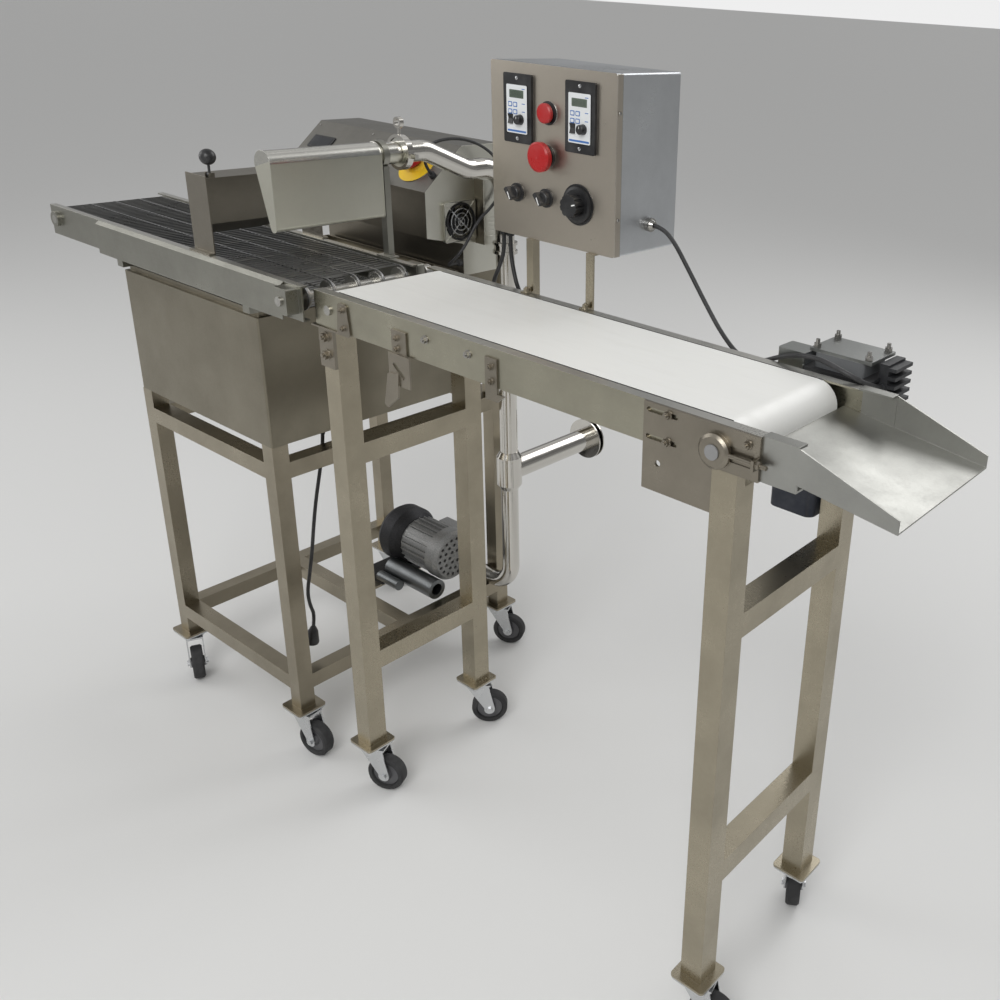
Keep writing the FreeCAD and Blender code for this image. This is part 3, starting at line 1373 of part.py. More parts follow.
box_cable_routes = [
    drip_loop(box_cable_places[0], -25, plate_gland_places[0]),
    drip_loop(box_cable_places[1], 19, plate_gland_places[1]),
]


def cord(points, radius, name):
    """A cord as a plain tube; prints its bend radii and compares its volume."""
    bar, wire, radii = swept(points, radius)
    expected = math.pi * radius ** 2 * wire.Length
    print(name, "length", round(wire.Length, 1), "volume ratio", round(bar.Volume / expected, 4),
          "radii", [round(r) for r in radii])
    return bar


def power_plug():
    """Moulded plug body on the end of the power cord."""
    end = power_cord_route[-1]
    return revolved([(0, 0), (0, 5), (10, 10), (34, 14), (38, 13), (38, 0)], end, V(-0.07, -0.14, -1))


def build():
    """Every node of the assembly, as lists of solids in the layout frame."""
    parts = {
        "trolley_frame": [trolley_frame()],
        "infeed_stand": [stand(infeed_stand_x, infeed_leg_near, infeed_rail_tops, False)],
        "discharge_stand": [stand(discharge_stand_x, discharge_leg_near, discharge_rail_tops,
                                  True)],
        "stand_brackets": stand_brackets(),
        "conveyor_bed": side_plates() + slider_bed(),
        "takeup_plates": takeup_plates(),
        "conveyor_belt": [conveyor_belt()],
        "drive_roller": [drive_roller()],
        "tail_roller": [tail_roller()],
        "discharge_chute": [discharge_chute()],
        "gear_motor": gear_motor(),
        "chocolate_tank": [chocolate_tank()],
        "mesh_conveyor_frame": mesh_conveyor_pieces(),
        "wire_mesh_belt": [wire_mesh_belt()],
        "mesh_drive_roller": [mesh_drive_roller()],
        "mesh_idler_roller": [mesh_idler_roller()],
        "flow_box": flow_box(),
        "flow_lever": [flow_lever()],
        "air_knife": [air_knife()],
        "air_pipework": air_pipework(),
        "bleed_disc": [bleed_disc()],
        "ring_blower": [ring_blower()],
        "blower_motor": [blower_motor()],
        "tempering_cabinet": tempering_cabinet(),
        "cabinet_emergency_stop": [cabinet_stop()],
        "cabinet_fan_guard": [fan_guard()],
        "cabinet_fan_rotor": [fan_rotor()],
        "control_box": control_box() + speed_controllers(),
        "left_speed_rocker": [controller_rocker(controller_places[0])],
        "right_speed_rocker": [controller_rocker(controller_places[1])],
        "left_speed_knob": [controller_knob(controller_places[0])],
        "right_speed_knob": [controller_knob(controller_places[1])],
        "left_selector_knob": [selector_knob(selector_places[0])],
        "right_selector_knob": [selector_knob(selector_places[1])],
        "speed_dial": [speed_dial()],
        "box_emergency_stop": [box_stop()],
        "red_push_button": [red_button()],
        "control_box_posts": box_posts(),
        "motor_cable": [cord(motor_cable_route, motor_cable_radius, "motor_cable")],
        "power_cord": [cord(power_cord_route, power_cord_radius, "power_cord")],
        "power_plug": [power_plug()],
        "cabinet_cable": [cord(cabinet_cable_route, cabinet_cable_radius, "cabinet_cable")],
        "box_cables": [cord(route, box_cable_radius, "box_cable") for route in box_cable_routes],
    }
    parts.update(casters())
    return parts


CORDS = ("motor_cable", "power_cord", "power_plug", "cabinet_cable", "box_cables")


def footprint_centre(parts):
    """The middle of everything but the cords, seen from above, at floor height."""
    solids = [solid for name, group in parts.items() if name not in CORDS for solid in group]
    bounds = Part.makeCompound(solids).BoundBox
    return V((bounds.XMin + bounds.XMax) / 2, (bounds.YMin + bounds.YMax) / 2, bounds.ZMin)


def main():
    os.makedirs("parts", exist_ok=True)
    parts = build()
    origin = footprint_centre(parts)
    print("nodes", len(parts), "origin in the layout", origin)
    for name, solids in parts.items():
        group = Part.makeCompound(solids)
        group.translate(-origin)
        group.exportStep(f"parts/{name}.step")
        if not all(solid.isValid() for solid in solids):
            print("not valid:", name)


if __name__ == "__main__":
    main()
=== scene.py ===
import json
import math

import bmesh
import bpy
from mathutils import Matrix, Vector
from mathutils.bvhtree import BVHTree


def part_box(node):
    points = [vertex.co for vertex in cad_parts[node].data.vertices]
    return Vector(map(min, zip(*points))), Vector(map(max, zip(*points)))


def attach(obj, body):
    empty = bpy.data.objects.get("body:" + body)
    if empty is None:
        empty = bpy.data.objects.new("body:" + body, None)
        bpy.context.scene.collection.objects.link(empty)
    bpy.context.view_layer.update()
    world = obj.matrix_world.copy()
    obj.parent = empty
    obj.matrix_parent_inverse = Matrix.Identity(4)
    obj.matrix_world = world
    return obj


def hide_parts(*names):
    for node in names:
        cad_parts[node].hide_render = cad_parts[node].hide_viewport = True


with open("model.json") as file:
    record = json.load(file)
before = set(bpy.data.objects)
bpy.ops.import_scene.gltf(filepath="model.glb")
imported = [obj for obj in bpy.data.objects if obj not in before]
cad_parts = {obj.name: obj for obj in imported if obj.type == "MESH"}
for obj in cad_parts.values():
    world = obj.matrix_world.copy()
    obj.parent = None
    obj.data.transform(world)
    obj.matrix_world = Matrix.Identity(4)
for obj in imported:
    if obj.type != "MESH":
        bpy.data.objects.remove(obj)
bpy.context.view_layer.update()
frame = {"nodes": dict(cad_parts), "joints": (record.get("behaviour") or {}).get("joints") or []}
scene = bpy.context.scene
MM = 0.001

# The part's source is laid out in millimetres from this origin, and so are the sizes below.
LAYOUT_ORIGIN = Vector((103.5, 369.5, 0.0))


def at(x, y, z):
    """A layout point in millimetres, as metres in the part's frame."""
    return (Vector((x, y, z)) - LAYOUT_ORIGIN) * MM


def layout(point):
    """A point of the part's frame in metres, as layout millimetres."""
    return point / MM + LAYOUT_ORIGIN


# ------------------------------------------------------------------ camera

CAMERA_PLACE = (1483.0, -952.9, 1485.1)
CAMERA_YAW, CAMERA_PITCH, CAMERA_ROLL = (math.radians(v) for v in (34.925, 22.512, 3.648))


def add_camera():
    data = bpy.data.cameras.new("camera")
    data.sensor_width = 36.0
    data.lens = 37.64
    data.shift_x = -0.2171
    data.shift_y = -0.0663
    data.clip_end = 200.0
    forward = Vector((-math.sin(CAMERA_YAW) * math.cos(CAMERA_PITCH),
                      math.cos(CAMERA_YAW) * math.cos(CAMERA_PITCH), -math.sin(CAMERA_PITCH)))
    level = Vector((math.cos(CAMERA_YAW), math.sin(CAMERA_YAW), 0.0))
    rise = level.cross(forward)
    right = level * math.cos(CAMERA_ROLL) + rise * math.sin(CAMERA_ROLL)
    up = rise * math.cos(CAMERA_ROLL) - level * math.sin(CAMERA_ROLL)
    camera = bpy.data.objects.new("camera", data)
    placed = Matrix((right, up, -forward)).transposed().to_4x4()
    placed.translation = at(*CAMERA_PLACE)
    camera.matrix_world = placed
    scene.collection.objects.link(camera)
    scene.camera = camera


# ------------------------------------------------------------------ materials


class Finish:
    """A Principled material with a helper for each kind of procedural variation."""

    def __init__(self, name, color, metallic=0.0, roughness=0.5, specular=0.5):
        self.material = bpy.data.materials.new(name)
        self.material.use_nodes = True
        self.tree = self.material.node_tree
        self.shader = self.tree.nodes["Principled BSDF"]
        self.color = color
        self.rough = roughness
        self.height = None
        self.shader.inputs["Base Color"].default_value = (*color, 1.0)
        self.shader.inputs["Metallic"].default_value = metallic
        self.shader.inputs["Roughness"].default_value = roughness
        self.shader.inputs["Specular IOR Level"].default_value = specular
        self.material.diffuse_color = (*color, 1.0)

    def node(self, kind, **values):
        made = self.tree.nodes.new(kind)
        for key, value in values.items():
            setattr(made, key, value)
        return made

    def link(self, start, end):
        self.tree.links.new(start, end)

    def noise(self, stretch, detail=4.0, roughness=0.55):
        """Noise with its own count of cells per metre along X, Y and Z."""
        coordinates = self.node("ShaderNodeTexCoord")
        mapping = self.node("ShaderNodeMapping")
        mapping.inputs["Scale"].default_value = stretch
        texture = self.node("ShaderNodeTexNoise")
        texture.inputs["Scale"].default_value = 1.0
        texture.inputs["Detail"].default_value = detail
        texture.inputs["Roughness"].default_value = roughness
        self.link(coordinates.outputs["Object"], mapping.inputs["Vector"])
        self.link(mapping.outputs["Vector"], texture.inputs["Vector"])
        return texture.outputs["Fac"]

    def spread(self, value, low, high, edges=(0.3, 0.7)):
        """Stretches a noise value to the range low to high."""
        ranged = self.node("ShaderNodeMapRange")
        ranged.inputs["From Min"].default_value = edges[0]
        ranged.inputs["From Max"].default_value = edges[1]
        ranged.inputs["To Min"].default_value = low
        ranged.inputs["To Max"].default_value = high
        self.link(value, ranged.inputs["Value"])
        return ranged.outputs["Result"]

    def vary_roughness(self, *values):
        """Roughness follows the sum of the given spreads round the base value."""
        total = values[0]
        for value in values[1:]:
            add = self.node("ShaderNodeMath", operation="ADD")
            self.link(total, add.inputs[0])
            self.link(value, add.inputs[1])
            total = add.outputs[0]
        self.link(total, self.shader.inputs["Roughness"])

    def vary_color(self, value, other):
        """Mixes the base colour with another one by a value from 0 to 1."""
        mix = self.node("ShaderNodeMix", data_type="RGBA")
        mix.inputs["A"].default_value = (*self.color, 1.0)
        mix.inputs["B"].default_value = (*other, 1.0)
        self.link(value, mix.inputs["Factor"])
        self.link(mix.outputs["Result"], self.shader.inputs["Base Color"])

    def bump(self, value, strength, distance):
        """Adds one layer of relief over the earlier ones."""
        relief = self.node("ShaderNodeBump")
        relief.inputs["Strength"].default_value = strength
        relief.inputs["Distance"].default_value = distance
        self.link(value, relief.inputs["Height"])
        if self.height:
            self.link(self.height, relief.inputs["Normal"])
        self.height = relief.outputs["Normal"]
        self.link(self.height, self.shader.inputs["Normal"])


def brushed(name, color, grain, roughness=0.3, smudge=0.14, mottle=0.22):
    """Sheet metal: fine lines along the grain, cloudy stains, and hand smudges in the gloss."""
    finish = Finish(name, color, metallic=1.0, roughness=roughness)
    edges = finish.node("ShaderNodeBevel", samples=4)
    edges.inputs["Radius"].default_value = 0.0009
    finish.height = edges.outputs["Normal"]
    lines = finish.noise(grain, detail=2.0)
    speckle = finish.noise((330.0, 330.0, 330.0), detail=4.0)
    cloud = finish.noise((9.0, 9.0, 9.0), detail=7.0, roughness=0.62)
    finish.vary_roughness(finish.spread(lines, roughness - 0.04, roughness + 0.04),
                          finish.spread(cloud, -smudge / 2, smudge / 2),
                          finish.spread(speckle, -0.03, 0.05))
    finish.vary_color(finish.spread(cloud, 0.0, 1.0, (0.25, 0.75)),
                      tuple((1.0 - mottle) * c for c in color))
    finish.bump(lines, 0.05, 0.0001)
    finish.bump(speckle, 0.06, 0.0002)
    finish.bump(finish.noise((3.5, 3.5, 3.5), detail=1.0), 0.12, 0.002)
    return finish.material


def polished(name, color, roughness=0.1):
    """Polished metal with faint waves and wiping marks."""
    finish = Finish(name, color, metallic=1.0, roughness=roughness)
    cloud = finish.noise((25.0, 25.0, 25.0), detail=5.0)
    finish.vary_roughness(finish.spread(cloud, roughness - 0.04, roughness + 0.08))
    finish.bump(finish.noise((40.0, 40.0, 40.0), detail=1.0), 0.05, 0.0005)
    return finish.material


def painted(name, color, roughness=0.45, grain=900.0, relief=0.15, dust=(0.5, 0.5, 0.5)):
    """Painted or moulded surface with a fine orange peel and a little dust."""
    finish = Finish(name, color, roughness=roughness)
    cloud = finish.noise((14.0, 14.0, 14.0), detail=6.0, roughness=0.65)
    finish.vary_color(finish.spread(cloud, 0.0, 0.12, (0.45, 0.8)), dust)
    finish.vary_roughness(finish.spread(cloud, roughness - 0.07, roughness + 0.1))
    finish.bump(finish.noise((grain, grain, grain), detail=2.0), relief, 0.0002)
    return finish.material


def cast(name, color, roughness=0.5):
    """Cast metal with a grainy skin."""
    finish = Finish(name, color, metallic=0.85, roughness=roughness)
    grain = finish.noise((420.0, 420.0, 420.0), detail=5.0)
    finish.vary_color(finish.spread(grain, 0.0, 1.0), tuple(0.72 * c for c in color))
    finish.vary_roughness(finish.spread(grain, roughness - 0.1, roughness + 0.12))
    finish.bump(grain, 0.25, 0.0004)
    return finish.material


def make_materials():
    along_x = (20.0, 2600.0, 2600.0)
    along_z = (2600.0, 2600.0, 20.0)
    along_y = (2600.0, 20.0, 2600.0)
    made = {
        "box_front": brushed("box_front", (0.50, 0.455, 0.39), along_z, 0.36, mottle=0.1),
        "box_side": brushed("box_side", (0.62, 0.64, 0.66), along_x, 0.34, mottle=0.2),
        "stand_steel": brushed("stand_steel", (0.43, 0.385, 0.295), along_z, 0.3),
        "trolley_steel": brushed("trolley_steel", (0.36, 0.32, 0.245), along_z, 0.32),
        "tank_steel": brushed("tank_steel", (0.27, 0.245, 0.19), along_z, 0.38, mottle=0.15),
        # Basin painted near black: painted shade under the mesh belt
        "basin_painted_shade": brushed("basin_painted_shade", (0.12, 0.11, 0.10), along_x, 0.4),
        "plate_steel": brushed("plate_steel", (0.42, 0.40, 0.32), along_x, 0.32),
        "rail_steel": brushed("rail_steel", (0.34, 0.335, 0.295), along_x, 0.34),
        # Upward faces painted lighter than the sheet they belong to: painted highlight
        "top_face_painted_highlight": brushed("top_face_painted_highlight", (0.66, 0.65, 0.61), along_x, 0.34),
        "takeup_steel": brushed("takeup_steel", (0.31, 0.28, 0.23), along_x, 0.34),
        "chute_steel": brushed("chute_steel", (0.42, 0.42, 0.395), along_x, 0.38),
        "knife_steel": brushed("knife_steel", (0.60, 0.59, 0.51), along_z, 0.36, mottle=0.12),
        "knife_bright": brushed("knife_bright", (0.72, 0.71, 0.66), along_y, 0.2),
        "flow_steel": brushed("flow_steel", (0.30, 0.275, 0.23), along_z, 0.34),
        "cabinet_steel": brushed("cabinet_steel", (0.26, 0.235, 0.19), along_x, 0.36),
        # Lighter copy of the cabinet steel for the side faces: painted light
        "cabinet_side_painted_light": brushed("cabinet_side_painted_light", (0.66, 0.65, 0.58), along_z, 0.34, mottle=0.1),
        "panel_steel": brushed("panel_steel", (0.27, 0.26, 0.235), along_x, 0.36),
        "steel_y": brushed("steel_y", (0.50, 0.49, 0.46), along_y, 0.3),
        "silencer": brushed("silencer", (0.20, 0.21, 0.215), along_x, 0.36),
        "polished": polished("polished", (0.62, 0.60, 0.56)),
        "zinc": polished("zinc", (0.62, 0.63, 0.64), 0.24),
        "bolt": polished("bolt", (0.36, 0.35, 0.33), 0.26),
        "wire": polished("wire", (0.33, 0.33, 0.33), 0.3),
        "cast_aluminium": cast("cast_aluminium", (0.34, 0.34, 0.335)),
        "case_grey": painted("case_grey", (0.13, 0.135, 0.14), 0.42),
        "plate_grey": brushed("plate_grey", (0.36, 0.37, 0.36), along_x, 0.36),
        "rib_dark": painted("rib_dark", (0.02, 0.021, 0.023), 0.5),
        "navy": painted("navy", (0.008, 0.014, 0.032), 0.35),
        "blower_dark": cast("blower_dark", (0.055, 0.055, 0.058), 0.55),
        "black_plastic": painted("black_plastic", (0.012, 0.012, 0.013), 0.33, 1500.0, 0.08),
        "black_satin": painted("black_satin", (0.02, 0.02, 0.021), 0.5, 1800.0, 0.12),
        "red_plastic": painted("red_plastic", (0.42, 0.008, 0.009), 0.3, 900.0, 0.04),
        "red_rim": painted("red_rim", (0.55, 0.12, 0.11), 0.35, 900.0, 0.04),
        "yellow": painted("yellow", (0.85, 0.56, 0.02), 0.4, 900.0, 0.05),
        "label": painted("label", (0.74, 0.76, 0.77), 0.4, 1800.0, 0.05, (0.4, 0.4, 0.4)),
        "lcd": painted("lcd", (0.09, 0.12, 0.09), 0.12, 900.0, 0.0),
        "key_blue": painted("key_blue", (0.05, 0.16, 0.45), 0.4, 900.0, 0.05),
        "white_mark": painted("white_mark", (0.85, 0.85, 0.83), 0.5, 900.0, 0.05),
        "window": painted("window", (0.01, 0.012, 0.016), 0.06, 900.0, 0.0),
        "digit": painted("digit", (0.02, 0.03, 0.02), 0.3, 900.0, 0.0),
        "cable": painted("cable", (0.018, 0.018, 0.019), 0.42, 1200.0, 0.1),
        "tread": painted("tread", (0.022, 0.022, 0.023), 0.72, 700.0, 0.35),
        "hub": painted("hub", (0.09, 0.09, 0.095), 0.45),
        # Dark rubber for the gear motor's gasket and the cover seam, also the painted shade in the
        # gaps beside the belt
        "gasket_and_gap_shade": painted("gasket_and_gap_shade", (0.015, 0.015, 0.016), 0.7, 900.0, 0.2),
    }
    belt = Finish("belt_white", (0.84, 0.84, 0.81), roughness=0.34)
    weave = belt.noise((650.0, 650.0, 650.0), detail=3.0)
    scuffs = belt.noise((6.0, 40.0, 40.0), detail=6.0, roughness=0.7)
    belt.vary_color(belt.spread(scuffs, 0.0, 0.22, (0.5, 0.8)), (0.62, 0.61, 0.57))
    belt.vary_roughness(belt.spread(scuffs, 0.3, 0.5))
    belt.bump(weave, 0.1, 0.0003)
    made["belt_white"] = belt.material
    lagging = Finish("lagging", (0.25, 0.25, 0.25), roughness=0.7)
    lagging.bump(lagging.noise((500.0, 500.0, 500.0)), 0.4, 0.0005)
    made["lagging"] = lagging.material
    return made


SMOOTH_ANGLE = math.radians(32.0)


def smooth(mesh):
    mesh.polygons.foreach_set("use_smooth", [True] * len(mesh.polygons))
    mesh.set_sharp_from_angle(angle=SMOOTH_ANGLE)


def dress(node, material):
    """Gives a CAD node its main material."""
    mesh = frame["nodes"][node].data
    mesh.materials.clear()
    mesh.materials.append(MATERIALS[material])
    mesh.polygons.foreach_set("material_index", [0] * len(mesh.polygons))
    mesh.polygons.foreach_set("use_smooth", [True] * len(mesh.polygons))


def region(node, material, x=None, y=None, z=None, test=None):
    """Gives the node's faces whose centres lie inside the layout ranges another material."""
    mesh = frame["nodes"][node].data
    mesh.materials.append(MATERIALS[material])
    index = len(mesh.materials) - 1
    for face in mesh.polygons:
        place = layout(face.center)
        inside = all(limits is None or limits[0] <= value <= limits[1]
                     for limits, value in zip((x, y, z), place))
        if inside and (test is None or test(place, face.normal)):
            face.material_index = index


# ------------------------------------------------------------------ mesh helpers


def placed(point, out, up):
    """A matrix whose Z looks out of a face and whose Y runs up it."""
    out = Vector(out).normalized()
    right = Vector(up).cross(out).normalized()
    rise = out.cross(right)
    matrix = Matrix((right, rise, out)).transposed().to_4x4()
    matrix.translation = at(*point)
    return matrix


FRONT = (0.0, -1.0, 0.0)
RIGHT = (1.0, 0.0, 0.0)
TOP = (0.0, 0.0, 1.0)


def rounded(width, height, corner, steps=5):
    """Outline of a rounded rectangle in millimetres, round the origin."""
    points = []
    for side, (sx, sy) in enumerate(((1, 1), (-1, 1), (-1, -1), (1, -1))):
        for k in range(steps + 1):
            turn = math.pi / 2 * (side + k / steps)
            points.append((sx * (width / 2 - corner) + corner * math.cos(turn),
                           sy * (height / 2 - corner) + corner * math.sin(turn)))
    return points


def circle(radius, count=40):
    return [(radius * math.cos(2 * math.pi * k / count), radius * math.sin(2 * math.pi * k / count))
            for k in range(count)]


def cross_recess(radius, count=40):
    """Outline of a cross-shaped screw recess."""
    points = []
    for k in range(count):
        turn = 2 * math.pi * k / count
        reach = 0.32 + 0.68 * max(0.0, math.cos(4 * turn)) ** 6
        points.append((radius * reach * math.cos(turn), radius * reach * math.sin(turn)))
    return points


def stack(bm, matrix, rings, open_ends=False):
    """Skins a list of (outline, height) rings, which share their number of points."""
    made = []
    for outline, height in rings:
        made.append([bm.verts.new(matrix @ (Vector((x, y, height)) * MM)) for x, y in outline])
    count = len(made[0])
    for low, high in zip(made, made[1:]):
        for k in range(count):
            bm.faces.new((low[k], low[(k + 1) % count], high[(k + 1) % count], high[k]))
    if not open_ends:
        bm.faces.new(list(reversed(made[0])))
        bm.faces.new(made[-1])


def plate(bm, matrix, width, height, low, high, corner=1.0, edge=0.4):
    """A rounded plate with softened front edges."""
    inner = rounded(width - 2 * edge, height - 2 * edge, max(corner - edge, 0.2))
    outer = rounded(width, height, corner)
    stack(bm, matrix, [(outer, low), (outer, high - edge), (inner, high)])


def screw(bm, matrix, radius, height):
    """A pan head screw with a cross recess."""
    rings = [(circle(radius), 0.0), (circle(radius), height * 0.4),
             (circle(radius * 0.86), height * 0.85), (circle(radius * 0.62), height),
             (cross_recess(radius * 0.5), height), (cross_recess(radius * 0.42), height * 0.35)]
    stack(bm, matrix, rings)


def piece(name, bm, material, body="base"):
    """Makes an object of the mesh so far and sets it riding on a body."""
    bmesh.ops.recalc_face_normals(bm, faces=bm.faces[:])
    mesh = bpy.data.meshes.new(name)
    bm.to_mesh(mesh)
    bm.free()
    smooth(mesh)
    mesh.materials.append(MATERIALS[material])
    made = bpy.data.objects.new(name, mesh)
    scene.collection.objects.link(made)
    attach(made, body)
    return made


# ------------------------------------------------------------------ cords

MOTOR_CABLE = (
    (442, 330, 1150), (462, 329, 1148), (490, 322, 1132), (526, 313, 1098), (566, 304, 1058),
    (604, 294, 1024), (642, 282, 1002), (680, 266, 996), (714, 253, 1010), (750, 250, 1028),
    (790, 248, 1038), (824, 242, 1038), (857, 240, 1030), (883, 257, 1016), (885, 289, 1005))
POWER_CORD = (
    (-205, 133, 688), (-205, 129, 638), (-206, 117, 584), (-207, 104, 530), (-206, 93, 478),
    (-202, 82, 428), (-196, 68, 384), (-192, 56, 346), (-196, 62, 310), (-204, 74, 282),
    (-206, 70, 254))
PANEL_OUT = Vector((0.0, -81.0, 93.0)).normalized()
PANEL_UP = Vector((0.0, 93.0, 81.0)).normalized()
PANEL_FOOT = Vector((0.0, 366.0, 1110.0))


def on_panel(x, up, out=0.0):
    return Vector((x, 0.0, 0.0)) + PANEL_FOOT + PANEL_UP * up + PANEL_OUT * out


CABINET_CABLE = (
    tuple(on_panel(-168, 40, 8)), tuple(on_panel(-168, 40, 32)), (-158, 372, 1192),
    (-146, 388, 1206), (-134, 414, 1211), (-128, 446, 1208), (-122, 478, 1196),
    (-118, 506, 1176), (-117, 526, 1149), (-117, 530, 1119), (-117, 516, 1092),
    (-117, 492, 1070), (-117, 464, 1054), (-118, 444, 1028), (-123, 430, 1002),
    (-134, 413, 977), (-153, 412, 962), (-167, 427, 957), (-166, 448, 958))
BOX_CABLE_LEFT = (
    (168, 266, 1099), (168, 266, 1071), (158, 264, 1043), (143, 262, 1014), (132.5, 270, 986),
    (130, 284, 958), (130, 293, 929), (130, 290, 897), (130, 266, 882), (130, 241, 893),
    (130, 236, 923), (130, 236, 952))
BOX_CABLE_RIGHT = (
    (183, 266, 1099), (183, 266, 1071), (190.6, 264, 1043), (202, 262, 1014), (213, 270, 986),
    (215, 284, 958), (215, 293, 929), (215, 290, 897), (215, 266, 882), (215, 241, 893),
    (215, 236, 923), (215, 236, 952))


def lay_cord(name, points, diameter, nodes):
    curve = bpy.data.curves.new(name, "CURVE")
    curve.dimensions = "3D"
    curve.bevel_depth = diameter * MM / 2
    curve.bevel_resolution = 5
    curve.resolution_u = 8
    curve.use_fill_caps = True
    spline = curve.splines.new("NURBS")
    spline.points.add(len(points) - 1)
    for target, point in zip(spline.points, points):
        target.co = (*at(*point), 1.0)
    spline.order_u = 3
    spline.use_endpoint_u = True
    curve.materials.append(MATERIALS["cable"])
    made = bpy.data.objects.new(name, curve)
    scene.collection.objects.link(made)
    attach(made, "base")
    for node in nodes:
        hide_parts(node)
    return made


def strain_relief(name, point, out, length, wide, narrow):
    """A ribbed taper that guards a cord where it leaves a housing."""
    bm = bmesh.new()
    rings = []
    count = 7
    for k in range(count):
        radius = wide + (narrow - wide) * k / (count - 1)
        rings.append((circle(radius, 24), length * k / count))
        rings.append((circle(radius, 24), length * (k + 0.6) / count))
        rings.append((circle(radius * 0.86, 24), length * (k + 0.65) / count))
        rings.append((circle(radius * 0.86, 24), length * (k + 0.95) / count))
    stack(bm, placed(point, out, (1.0, 0.0, 0.0)), rings)
    return piece(name, bm, "black_satin")


def add_cords():
    relief = strain_relief("power_cord_strain_relief", (-205, 133, 688.3), (0.0, -0.08, -1.0),
                           26.0, 7.0, 4.4)
    lay_cord("motor_cable_run", MOTOR_CABLE, 7.0, ["motor_cable"])
    lay_cord("power_cord_run", POWER_CORD, 7.0, ["power_cord"])
    lay_cord("cabinet_cable_run", CABINET_CABLE, 6.0, ["cabinet_cable"])
    lay_cord("left_box_cable_run", BOX_CABLE_LEFT, 7.0, ["box_cables"])
    lay_cord("right_box_cable_run", BOX_CABLE_RIGHT, 7.0, ["box_cables"])


# ------------------------------------------------------------------ finishes of the CAD pieces

CASTER_ENDS = ("_caster_fork", "_caster_wheel")
PLAIN_FINISHES = {
    "trolley_frame": "trolley_steel", "infeed_stand": "stand_steel",
    "discharge_stand": "stand_steel", "stand_brackets": "takeup_steel",
    "conveyor_bed": "plate_steel", "takeup_plates": "takeup_steel",
    "conveyor_belt": "belt_white", "drive_roller": "lagging", "tail_roller": "steel_y",
    "discharge_chute": "chute_steel", "gear_motor": "case_grey", "chocolate_tank": "tank_steel",
    "mesh_conveyor_frame": "rail_steel", "wire_mesh_belt": "wire",
    "mesh_drive_roller": "steel_y", "mesh_idler_roller": "steel_y", "flow_box": "flow_steel",
    "flow_lever": "black_plastic", "air_knife": "knife_steel", "air_pipework": "polished",
    "bleed_disc": "polished", "ring_blower": "blower_dark", "blower_motor": "cast_aluminium",
    "tempering_cabinet": "cabinet_steel", "cabinet_emergency_stop": "red_plastic",
    # The fan guard on the cabinet side takes the side's painted-light colour
    "cabinet_fan_guard": "cabinet_side_painted_light", "cabinet_fan_rotor": "black_plastic",
    "control_box": "box_side", "control_box_posts": "stand_steel",
    "box_emergency_stop": "red_plastic", "red_push_button": "red_plastic",
    "caster_plates": "zinc", "power_plug": "black_plastic", "motor_cable": "cable",
    "power_cord": "cable", "cabinet_cable": "cable", "box_cables": "cable",
}


def dress_cad():
    for node in frame["nodes"]:
        if node in PLAIN_FINISHES:
            dress(node, PLAIN_FINISHES[node])
        elif node.endswith("_caster_fork"):
            dress(node, "zinc")
        elif node.endswith("_caster_wheel"):
            dress(node, "tread")
        else:
            dress(node, "black_plastic")


MATERIALS = make_materials()
add_camera()
add_cords()
dress_cad()


def facing(direction, least=0.7):
    """A test that a face looks along a direction."""
    aim = Vector(direction)
    return lambda place, normal: normal.dot(aim) > least


def over_panel(place, normal):
    return (place - PANEL_FOOT).dot(PANEL_OUT) > 0.6


def near_axis(point, axis, low, high):
    """A test that a face's centre lies between two distances from an axis, in millimetres."""
    axis = Vector(axis).normalized()

    def test(place, normal):
        offset = place - Vector(point)
        return low <= (offset - axis * offset.dot(axis)).length <= high

    return test


FAN_AXIS = (0.0, 445.0, 1046.0)


